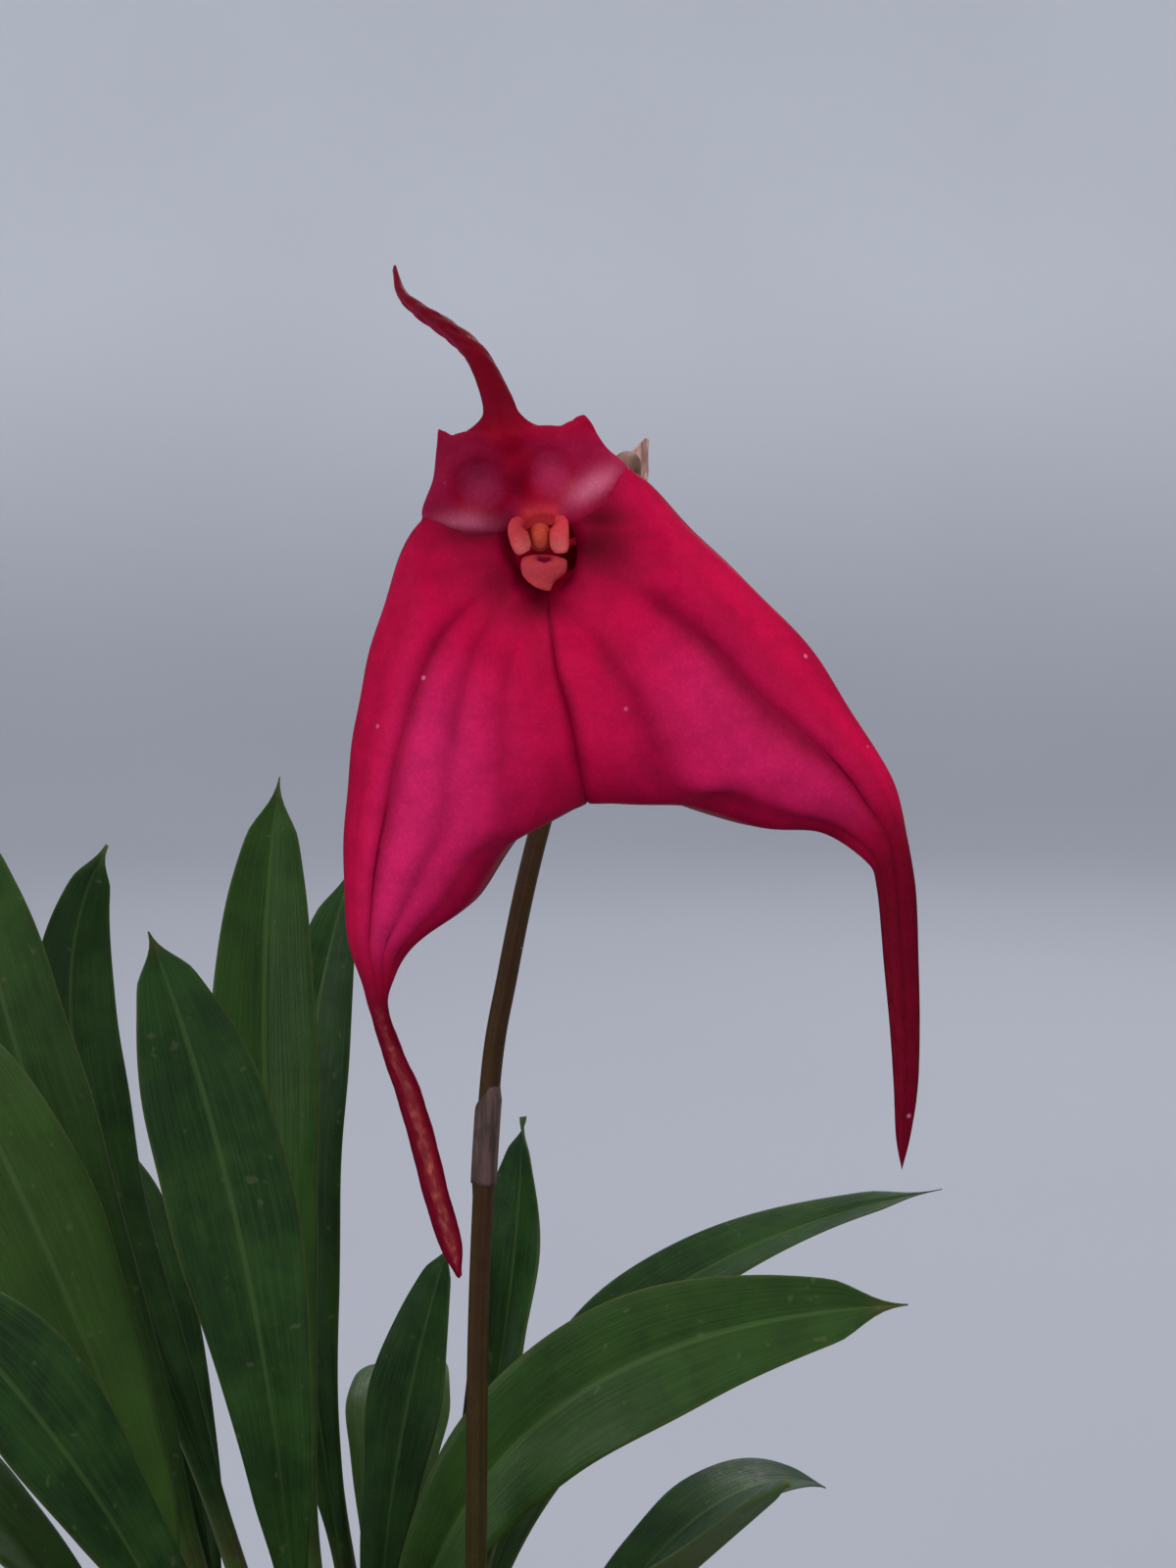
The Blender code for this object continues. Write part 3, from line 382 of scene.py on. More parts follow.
def tissue_shader(name, roughness, papilla_mm, relief_mm, glow, gloss):
    """Living tissue: its colour is on the mesh, with fine cells, a soft cloud and a few pale specks painted
    as glints.
    """
    s = Shader(name, roughness)
    tint = s.colour("tint")
    cloud = s.noise(420, 4.0, 0.6)
    fine = s.noise(3200, 2.0, 0.6)
    tint = s.mix(s.steps(cloud, 0.35, 0.7, 0.0, 0.22), tint, s.mix(0.75, tint, (0.0, 0.0, 0.0)))
    tint = s.mix(s.steps(fine, 0.45, 0.75, 0.0, 0.5), tint, s.mix(1.0, tint, (1.3, 1.6, 1.4), "MULTIPLY"))
    # Painted glints: sparse pale specks stand in for the tiny sparkle highlights on the tissue.
    painted_glints = s.steps(s.cells(190), 0.022, 0.05, 0.5, 0.0)
    tint = s.mix(s.sum("MULTIPLY", painted_glints, s.steps(s.noise(70), 0.42, 0.55)), tint, (0.75, 0.25, 0.4))
    s.set("Base Color", tint)
    papillae = s.cells(1 / (papilla_mm * MM))
    s.set("Roughness", s.sum("MULTIPLY_ADD", s.noise(1500, 2.0), 0.18, roughness - 0.09))
    low = s.bump(s.noise(900, 3.0), relief_mm * 1.6, 0.5)
    s.set("Normal", s.bump(papillae, relief_mm, 0.55, low))
    s.set("Subsurface Weight", glow)
    s.set("Subsurface Radius", (1.0, 0.25, 0.35))
    s.set("Subsurface Scale", 0.0012)
    s.set("Specular IOR Level", gloss)
    s.set("Emission Color", tint)
    s.set("Emission Strength", s.sum("MULTIPLY", s.value("through"), LIGHT_THROUGH_TUBE))
    return s.material


def leaf_shader():
    """Thick green leaves: fine lengthwise veins, a pale midrib, purple-brown feet and a soft gloss."""
    s = Shader("leaf_blade", 0.42)
    across, along = s.value("across"), s.value("along")
    upper, age = s.value("upper"), s.value("age")
    cloud = s.noise(150, 4.0, 0.6)
    green = s.mix(s.steps(cloud, 0.35, 0.68), rgb(24, 50, 20), rgb(38, 68, 26))
    green = s.mix(s.steps(age, 0.0, 1.0), green, rgb(62, 88, 28))
    under = s.mix(s.steps(cloud, 0.35, 0.68), rgb(50, 72, 36), rgb(60, 82, 42))
    green = s.mix(s.steps(upper, 0.4, 0.6), under, green)
    lane_place = s.node("CombineXYZ", {"X": across, "Y": s.sum("MULTIPLY", along, 0.35)}).outputs[0]
    lanes = s.node("TexNoise", {"Vector": lane_place, "Scale": 26.0, "Detail": 3.0}).outputs["Fac"]
    veins = s.steps(lanes, 0.42, 0.62)
    green = s.mix(s.sum("MULTIPLY", veins, 0.22), green, s.mix(0.5, green, rgb(84, 108, 60)))
    middle = s.steps(s.sum("ABSOLUTE", across), 0.015, 0.075, 1.0, 0.0)
    green = s.mix(s.sum("MULTIPLY", middle, 0.45), green, rgb(78, 104, 54))
    rim = s.steps(s.sum("ABSOLUTE", across), 0.93, 1.0)
    green = s.mix(s.sum("MULTIPLY", rim, 0.35), green, rgb(84, 74, 40))
    stalk = s.steps(along, 0.34, 0.14)
    green = s.mix(stalk, green, s.mix(s.steps(s.noise(260), 0.4, 0.65), rgb(86, 104, 44), rgb(92, 72, 48)))
    tip = s.sum("MULTIPLY", s.steps(along, 0.965, 0.998), s.steps(s.noise(90), 0.45, 0.6))
    green = s.mix(s.sum("MULTIPLY", tip, 0.55), green, rgb(104, 84, 46))
    spots = s.sum("MULTIPLY", s.steps(s.noise(700, 1.0), 0.70, 0.76), 0.45)
    green = s.mix(spots, green, rgb(84, 92, 60))
    s.set("Base Color", green)
    duller_below = s.steps(upper, 0.4, 0.6, 0.14, 0.0)
    s.set("Roughness", s.sum("ADD", s.steps(s.noise(420), 0.3, 0.7, 0.30, 0.46), duller_below))
    base = s.bump(lanes, 0.25, 0.35)
    base = s.bump(s.noise(1400, 3.0), 0.10, 0.35, base)
    s.set("Normal", s.bump(s.cells(4200), 0.03, 0.35, base))
    s.set("Subsurface Weight", 0.06)
    s.set("Subsurface Radius", (0.4, 1.0, 0.2))
    s.set("Subsurface Scale", 0.001)
    s.set("Specular IOR Level", 0.13)
    return s.material


def papery_shader(name, pale, dark):
    """Dry papery sheath with lengthwise fibres."""
    s = Shader(name, 0.75)
    fibres = s.noise(900, 3.0, 0.6, s.stretch((1.6, 1.6, 0.12)))
    tint = s.mix(s.steps(fibres, 0.35, 0.65), dark, pale)
    tint = s.mix(s.steps(s.noise(500), 0.55, 0.7, 0.0, 0.6), tint, s.mix(0.5, dark, (0.02, 0.012, 0.008)))
    s.set("Base Color", tint)
    s.set("Normal", s.bump(fibres, 0.16, 0.7))
    s.set("Subsurface Weight", 0.1)
    s.set("Subsurface Scale", 0.0006)
    return s.material


def clay_shader():
    """Unglazed fired clay: sandy grain, turning marks, pale salts and damp stains."""
    s = Shader("fired_clay", 0.88)
    grain = s.noise(2600, 4.0, 0.7)
    cloud = s.noise(45, 5.0, 0.6)
    tint = s.mix(s.steps(cloud, 0.32, 0.7), rgb(176, 100, 66), rgb(198, 122, 84))
    tint = s.mix(s.steps(grain, 0.5, 0.72, 0.0, 0.35), tint, rgb(146, 78, 50))
    tint = s.mix(s.steps(s.noise(1500, 1.0), 0.68, 0.74, 0.0, 0.7), tint, rgb(226, 172, 132))
    height = s.node("SeparateXYZ", {"Vector": s.place}).outputs["Z"]
    salts = s.sum("ADD", s.noise(70, 6.0, 0.68), s.steps(height, 0.045, 0.0, 0.0, 0.12))
    salts = s.sum("ADD", salts, s.steps(height, 0.064, 0.082, 0.0, 0.06))
    tint = s.mix(s.steps(salts, 0.56, 0.76, 0.0, 0.62), tint, rgb(224, 206, 186))
    damp = s.steps(s.noise(32, 4.0, 0.6, s.stretch((1.0, 1.0, 0.45))), 0.54, 0.68, 0.0, 0.35)
    tint = s.mix(damp, tint, rgb(104, 66, 44))
    near_foot = s.steps(height, 0.030, 0.004, 0.0, 0.5)
    algae = s.sum("MULTIPLY", s.steps(s.noise(120, 4.0), 0.56, 0.7), near_foot)
    tint = s.mix(algae, tint, rgb(92, 98, 54))
    s.set("Base Color", tint)
    rings = s.noise(1.0, 3.0, 0.6, s.stretch((6.0, 6.0, 900.0)))
    base = s.bump(rings, 0.16, 0.35)
    base = s.bump(cloud, 0.8, 0.25, base)
    s.set("Normal", s.bump(grain, 0.10, 0.5, base))
    return s.material


def bark_shader():
    """Conifer bark: flaky layers, grey-brown weathering and a red-brown inside."""
    s = Shader("bark_mix", 0.9)
    age = s.value("age")
    flakes = s.noise(260, 6.0, 0.7, s.stretch((1.0, 1.0, 2.6)))
    tint = s.mix(s.steps(flakes, 0.34, 0.66), rgb(48, 30, 22), rgb(128, 84, 56))
    weathered = s.mix(flakes, rgb(64, 52, 44), rgb(150, 128, 106))
    tint = s.mix(s.steps(age, 0.35, 0.9, 0.0, 0.75), tint, weathered)
    tint = s.mix(s.steps(s.noise(900, 3.0), 0.55, 0.7, 0.0, 0.5), tint, rgb(34, 22, 17))
    tint = s.mix(s.steps(s.noise(120, 4.0), 0.60, 0.70, 0.0, 0.35), tint, rgb(76, 88, 40))
    s.set("Base Color", tint)
    base = s.bump(flakes, 0.9, 0.6)
    s.set("Normal", s.bump(s.noise(2200, 4.0, 0.7), 0.2, 0.6, base))
    return s.material


def perlite_shader():
    s = Shader("perlite", 0.95)
    pits = s.noise(1700, 4.0, 0.65)
    s.set("Base Color", s.mix(s.steps(pits, 0.35, 0.6), rgb(150, 142, 128), rgb(226, 222, 212)))
    s.set("Normal", s.bump(pits, 0.25, 0.7))
    return s.material


# Leaves

def leaf_curve(foot, elbow, tip):
    foot = np.array((*foot, MIX_LEVEL))
    rise = np.array((0, 0, 0.33 * (tip[2] - MIX_LEVEL)))
    controls = (foot, foot + rise, np.array(elbow, float), np.array(tip, float))
    places = 1 - (1 - np.linspace(0, 1, LEAF_ROWS)) ** 1.25
    path = [controls[0] * (1 - t) ** 3 + 3 * controls[1] * t * (1 - t) ** 2
            + 3 * controls[2] * t * t * (1 - t) + controls[3] * t ** 3 for t in places]
    return np.array([foot - (0, 0, STEM_DEPTH)] + path), [0.0, *places]


def leaf_ring(wide, thick, fold, roundness, wave):
    """(across, up) points round a leaf: over the lower face, then back over the upper face."""
    ring = []
    for k in range(LEAF_SIDES):
        angle = math.tau * k / LEAF_SIDES
        u = -math.cos(angle)
        lower = math.sin(angle) > 0
        level = fold * wide * abs(u) ** 1.25 + wave * abs(u) ** 1.5 * (1 if u > 0 else -1)
        body = thick * math.sqrt(max(1 - 0.85 * abs(u) ** 3, 0)) * min(1.0, abs(math.sin(angle)) * 2.2)
        if lower:
            offset = -body * (1 + 0.35 * math.exp(-(u / 0.09) ** 2))
        else:
            offset = body * (1 - 0.62 * math.exp(-(u / 0.075) ** 2))
        blade = np.array((wide * u, level + offset))
        stem = RAMICAUL_RADIUS * np.array((u, -math.sin(angle)))
        ring.append(blade * (1 - roundness) + stem * roundness)
    return ring


def leaf(index, foot, elbow, tip, half_width, face, finish):
    """One leaf: ramicaul, channelled petiole and keeled blade with slightly waved margins."""
    rng = random.Random(100 + index)
    phase, waves = rng.uniform(0, math.tau), rng.uniform(2.0, 3.4)
    sway, age = rng.uniform(0.25, 0.6), max(0.0, rng.gauss(0.12, 0.2))
    path, places = leaf_curve(foot, elbow, tip)
    points, across, along, upper = [], [], [], []
    for t, p, (_, side, normal) in zip(places, path, frames_along(path, unit(face))):
        point = 1 - 0.8 * float(smoothstep(t, 0.95, 1.0))
        wide = max(half_width * smooth_interp(t, LEAF_OUTLINE), 0.35) * (point if t > 0.95 else 1.0)
        blade_share = float(smoothstep(t, 0.4, 0.75))
        wide *= 1 + 0.02 * blade_share * math.sin(math.tau * 5 * t + phase)
        roundness = 1 - float(smoothstep(t, 0.24, 0.42))
        fold = 0.75 - 0.5 * float(smoothstep(t, 0.34, 0.6))
        thick = LEAF_HALF_THICK * (1.25 - 0.85 * float(smoothstep(t, 0.5, 1.0))) * point
        wave = sway * blade_share * math.sin(math.tau * waves * t + phase)
        ring = leaf_ring(wide, thick, fold, roundness, wave)
        for k, (x, z) in enumerate(ring):
            points.append(p + x * side + z * normal)
            across.append(-math.cos(math.tau * k / LEAF_SIDES))
            along.append(t)
            upper.append(0.5 - 0.5 * math.copysign(1, math.sin(math.tau * k / LEAF_SIDES)))
    name = f"leaf_{index:02d}"
    attributes = {"across": across, "along": along, "upper": upper, "age": [age] * len(along)}
    faces = ring_faces(len(path), LEAF_SIDES)
    return piece(name + "_blade", points, faces, finish, name, attributes)


def leaf_sheaths(finish):
    """Dry tubular sheaths round the leaf stalks, torn at the top."""
    rng = random.Random(7)
    points, faces = [], []
    sides, rows = 16, 9
    for foot, elbow, tip, *_ in LEAVES:
        path, _ = leaf_curve(foot, elbow, tip)
        tall = rng.uniform(9, 20)
        top = MIX_LEVEL + tall
        start = rng.uniform(0, math.tau)
        jags = [rng.uniform(0.72, 1.0) for _ in range(sides)]
        base = len(points)
        for skin in (0, 1):
            for r in range(rows):
                for k in range(sides):
                    share = (r if skin == 0 else rows - 1 - r) / (rows - 1)
                    z = MIX_LEVEL - 1 + (top - MIX_LEVEL + 1) * share * (jags[k] if share > 0.6 else 1.0)
                    middle = np.array([np.interp(z, path[:40, 2], path[:40, axis]) for axis in (0, 1)])
                    flare = 0.35 * share ** 3 * (1 + 0.6 * math.sin(3 * k + start))
                    radius = RAMICAUL_RADIUS + 0.42 + 0.25 * (1 - share) + flare - 0.16 * skin
                    radius += 0.05 * math.sin(5 * math.tau * k / sides + start)
                    angle = math.tau * k / sides + start
                    x, y = middle[0] + radius * math.cos(angle), middle[1] + radius * math.sin(angle)
                    points.append((x, y, z))
        faces += [tuple(v + base for v in f) for f in ring_faces(2 * rows, sides, closed=False)]
        for k in range(sides):
            n = (k + 1) % sides
            last = base + (2 * rows - 1) * sides
            faces.append((last + k, last + n, base + n, base + k))
    return piece("leaf_sheaths", points, faces, finish)


# Bloom: the three sepals

def tube_ring_point(distance, radius, angle):
    right = unit(np.cross(TUBE_AXIS, (0, 0, 1)))
    up = np.cross(right, TUBE_AXIS)
    return TUBE_AXIS * distance + radius * (math.sin(angle) * right + math.cos(angle) * up)


def horn(points, place, way, reach, size):
    """Draws the points near a place out along `way` into a small spur, or in when reach is negative."""
    near = np.linalg.norm(points - np.array(place), axis=-1)
    return points + reach * np.exp(-(near / size) ** 1.5)[..., None] * unit(way)


def spread(columns):
    """Places from -1 to 1 across a sepal, closer together near its edges."""
    s = np.linspace(-1, 1, columns + 1)
    return 0.5 * s + 0.5 * np.sin(0.5 * math.pi * s)


def across_section(first, mid, last, columns):
    """Points from edge to edge on the parabola through both edges and the mid vein."""
    first, mid, last = (np.array(p, float) for p in (first, mid, last))
    one, two = np.linalg.norm(mid - first), np.linalg.norm(last - mid)
    m = one / (one + two)
    made = []
    for s in spread(columns) + 1:
        u = m * s if s <= 1 else m + (1 - m) * (s - 1)
        made.append(first * (u - m) * (u - 1) / m + mid * u * (u - 1) / (m * (m - 1))
                    + last * u * (u - m) / (1 - m))
    return made


def sepal_rows(sepal, columns, start_angle):
    """The sepal's middle surface as rows of points, with the tail's rows last."""
    us = spread(columns)
    keys = []
    for distance, radius in TUBE_RINGS:
        angles = [math.radians(start_angle + 60 * (u + 1)) for u in us]
        keys.append([tube_ring_point(distance, radius, angle) for angle in angles])
    for first, mid, last in zip(sepal["first"], sepal["mid"], sepal["last"]):
        keys.append(across_section(first, mid, last, columns))
    blade_keys = len(keys)
    side_from, side_to = (unit(v) for v in sepal["tail_side"])
    tail = sepal["tail"]
    for k, (x, y, z, half) in enumerate(tail):
        side = unit(side_from + (side_to - side_from) * k / (len(tail) - 1))
        keys.append([np.array((x, y, z)) + side * half * u for u in us])
    keys = np.array(keys)
    rows, places = [], []
    for i in range(len(keys) - 1):
        steps = TUBE_STEPS if i < 4 else (BLADE_STEPS if i < blade_keys else TAIL_STEPS)
        for k in range(steps):
            rows.append(spline_point(keys, i + k / steps))
            places.append(i + k / steps)
    rows.append(keys[-1])
    places.append(float(len(keys) - 1))
    rows = np.array(rows)
    for place, way, reach, size in sepal.get("horns", ()):
        rows = horn(rows, place, way, reach, size)
    return rows, np.array(places), blade_keys


VEINS = {"dorsal": ((0.0, -0.5, 0.15),),
         "right": ((0.0, 0.6, 0.13), (0.66, 0.4, 0.09), (-0.5, 0.16, 0.12)),
         "left": ((0.0, 0.5, 0.09), (-0.36, 0.3, 0.07), (-0.66, 0.24, 0.07), (0.5, 0.14, 0.12))}
DIMPLES = ((-5.4, 6.9, 2.1), (0.4, 7.9, 2.0))       # x, z and radius on the dorsal sepal
# Painted shade round the mouth, where the throat sinks in: x, z, half width, half height, strength
FUNNEL_SHADE = ((0.3, 0.4, 4.0, 4.0, 0.9), (4.4, 1.8, 4.2, 3.2, 1.0), (4.8, 4.0, 3.4, 1.8, 1.0),
          (-6.4, 2.6, 4.6, 1.4, 0.55), (-3.8, -1.4, 2.8, 2.6, 0.65), (-0.2, -3.4, 3.0, 1.6, 0.9))


def vein_share(name, u):
    """How much of a vein runs at u, from 0 to 1."""
    total = np.zeros_like(u)
    for centre, deep, wide in VEINS[name]:
        total += abs(deep) / 0.55 * bell(u, centre, wide)
    return np.clip(total, 0, 1)


def sepal_relief(name, u, places, blade_keys, p):
    """How far the middle surface stands forward, in millimetres, from veins, swellings and margins."""
    x, z = p[..., 0], p[..., 2]
    along = window(places, 4.3, 6.2, blade_keys - 3, blade_keys)
    relief = np.zeros_like(x)
    for centre, deep, wide in VEINS[name]:
        relief -= deep * bell(u, centre, wide)
    if name != "dorsal":
        inner = u if name == "right" else -u
        relief += 0.55 * bell(inner, 0.8, 0.13) * window(places, 4.5, 6, 8.4, 9.6)
        relief -= 0.9 * smoothstep(inner, 0.8, 1.0) * window(places, 8.6, 10, 12, 13.5)
        relief -= 0.6 * smoothstep(-inner, 0.84, 1.0) * window(places, 6.2, 8, 12, 13.5)
        relief += 0.16 * np.sin(0.55 * x + 0.3 * z + 1.0) * np.sin(0.42 * z - 0.2 * x)
    else:
        for cx, cz, radius in DIMPLES:
            far = np.hypot(x - cx, z - cz)
            relief -= 0.75 * bell(far, 0, radius * 0.85)
            relief += 0.2 * bell(far, radius * 1.3, radius * 0.3)
        relief += 0.1 * np.sin(5.2 * z + 2.0 * x) * smoothstep(u, 0.86, 1.0) * smoothstep(places, 6, 6.6)
    relief *= along
    tail = smoothstep(places, blade_keys - 0.5, blade_keys + 1.5)
    ending = smoothstep(places, places.max() - 1.8, places.max() - 0.5)
    relief += 0.07 * tail * (1 - ending) * np.sin(4.1 * z + 1.3 * x) * np.sin(1.9 * z + 5 * u)
    if name == "left":
        relief -= 0.34 * (1 - u * u) * tail
    return relief


CRIMSON = rgb(188, 8, 62)
# Painted highlight colour for the bulges between the lateral veins.
ROSE_HIGHLIGHT = rgb(206, 34, 96)
DEEP = rgb(116, 0, 34)
# Painted shade colour for the curled margins and the throat.
SHADE_DARK = rgb(84, 0, 20)
RIDGE = rgb(138, 0, 32)
DORSAL_RED = rgb(134, 14, 50)
PALE = rgb(196, 100, 128)
TAIL_RED = rgb(78, 4, 17)
TAIL_DARK = rgb(74, 0, 13)
BACK_RED = rgb(134, 26, 56)
# Painted shade colour for the inside of the tube.
INNER_SHADE_RED = rgb(124, 2, 28)
# Painted shade colour for the grooves of the joined seams.
SEAM_SHADE_RED = rgb(124, 6, 40)
# Painted shade colour for the outer part of the lateral sepals.
UPPER_SHADE_RED = rgb(156, 6, 50)
DIMPLE_PINK = rgb(158, 40, 76)
ROOF_LIGHT = rgb(168, 36, 52)
THROAT_LIGHT = rgb(196, 52, 62)
FLECK = rgb(176, 84, 76)


def sepal_tint(name, u, places, blade_keys, p, front):
    """The colour of the tissue from the place along the sepal, across it, and in the bloom, with painted
    shade and highlights.
    """
    x, z = p[..., 0], p[..., 2]
    tail = smoothstep(places, blade_keys - 3.4, blade_keys + 0.2)
    funnel_shade = np.zeros_like(x)
    for cx, cz, wide, tall, strength in FUNNEL_SHADE:
        funnel_shade = np.maximum(funnel_shade, strength * np.exp(-(((x - cx) / wide) ** 2 + ((z - cz) / tall) ** 2)))
    shape = np.broadcast_to(np.asarray(CRIMSON), (*x.shape, 3))
    vein = vein_share(name, u) * smoothstep(places, 4.5, 6)
    joined = 1 - smoothstep(places, SEAM_END_UPPER - 0.5, SEAM_END_UPPER + 0.5)
    if name == "dorsal":
        tint = fade(shape, DORSAL_RED, 1.0)
        ridge = bell(x + 0.9 + 0.36 * (z - 5.0), 0.0, 1.15 + 0.12 * (z - 5.0))
        tint = fade(tint, RIDGE, 0.95 * ridge + 0.6 * smoothstep(z, 10.0, 11.8))
        for cx, cz, radius in DIMPLES:
            far = np.hypot(x - cx, z - cz)
            tint = fade(tint, DIMPLE_PINK, 0.7 * bell(far, 0, radius * 0.8))
            below = 0.35 + 0.65 * (1 - smoothstep(z - cz, -1.0, 1.5))
            tint = fade(tint, RIDGE, 0.85 * bell(far, radius * 1.15, radius * 0.2) * below)
        left_pale = bell(x, -6.9, 2.3) * bell(z, 3.6, 0.95)
        across_pale = ((x - 4.2) * 0.51 - (z - 6.9) * 0.86) / 1.05
        along_pale = ((x - 4.2) * 0.86 + (z - 6.9) * 0.51) / 2.2
        right_pale = bell(np.hypot(across_pale, along_pale), 0, 1.0)
        tint = fade(tint, PALE, 0.68 * left_pale + 0.72 * right_pale)
        # Painted shade along the seams where the dorsal sepal joins the others.
        tint = fade(tint, SEAM_SHADE_RED, 0.75 * smoothstep(np.abs(u), 0.86, 1.0) * joined)
    else:
        inner = u if name == "right" else -u
        # Painted highlight: a brighter rose band on the lit bulges between the veins of each lateral sepal.
        rose_highlight = window(places, 5.2, 8, 11.5, 13) * bell(inner, 0.28, 0.42)
        tint = fade(shape, ROSE_HIGHLIGHT, (0.7 if name == "right" else 0.95) * rose_highlight)
        # Painted shade: the vein grooves on the front of the lateral sepals are darkened.
        tint = fade(tint, DEEP, 0.72 * vein)
        # Painted shade in the groove of the lower seam between the lateral sepals.
        seam_shade = smoothstep(inner, 0.93, 1.0) * (1 - smoothstep(places, 9.0, 9.5))
        tint = fade(tint, DEEP, 0.85 * seam_shade)
        # Painted shade: a dark band above the lower margin, which rolls back.
        lower = smoothstep(inner, 0.5, 0.85) * window(places, 7.6, 9.6, 12, 13)
        tint = fade(tint, DEEP, 0.85 * lower)
        # Painted shade: the outer, upper part of each lateral sepal is darkened.
        upper = smoothstep(-inner, 0.25, 0.9) * (1 - smoothstep(places, 9, 12))
        tint = fade(tint, UPPER_SHADE_RED, 0.6 * upper)
        # Painted shade along the seam joined to the dorsal sepal.
        tint = fade(tint, SEAM_SHADE_RED, 0.6 * smoothstep(-inner, 0.84, 1.0) * joined)
        # Painted shade over the outer margin, where it faces the key lamp.
        tint = fade(tint, DEEP, 0.55 * smoothstep(-inner, 0.55, 0.95) * smoothstep(places, 7, 9))
        # Painted shade: the free margins are darkened where they curl back.
        free = smoothstep(np.abs(u), 0.87, 0.985) * smoothstep(places, 6.0, 6.6)
        free = np.where((inner > 0) & (places < 9), 0, free)
        tint = fade(tint, SHADE_DARK, 0.85 * free)
    # Painted shade: the funnel round the mouth is darkened, less on the dorsal roof.
    tint = fade(tint, SHADE_DARK, funnel_shade * (1 - (0.8 * smoothstep(z, 2.6, 4.2) if name == "dorsal" else 0)))
    if name == "dorsal":
        glow = np.exp(-((x + 0.5) / 2.0) ** 4) * (1 - smoothstep(places, 4.0, 5.0))
        tint = fade(tint, ROOF_LIGHT, 0.55 * glow)
    # Painted shade deep inside the tube.
    tint = fade(tint, INNER_SHADE_RED, 0.9 * (1 - smoothstep(places, 3.0, 3.9)))
    glow = np.exp(-((x + 0.5) / 1.9) ** 4) * smoothstep(z, 2.0, 3.0) * (1 - smoothstep(places, 3.8, 4.6))
    tint = fade(tint, THROAT_LIGHT, glow)
    tint = fade(tint, TAIL_DARK if name == "dorsal" else TAIL_RED, 0.85 * tail)
    if name == "left":
        flecks = [speckle(q, 0.7, 3.0) + 0.6 * speckle(q, 0.3, 8.0) for q in p.reshape(-1, 3)]
        flecks = np.array(flecks).reshape(x.shape)
        band = smoothstep(places, blade_keys - 0.6, blade_keys + 1.2)
        band = band * (1 - smoothstep(np.abs(u + 0.1), 0.1, 0.8))
        tint = fade(tint, FLECK, band * (0.2 + 0.6 * smoothstep(flecks, -0.1, 0.6)))
    back = np.broadcast_to(np.asarray(BACK_RED), tint.shape)
    back = fade(back, DEEP, 0.5 * vein + 0.4 * tail)
    return tint if front else back


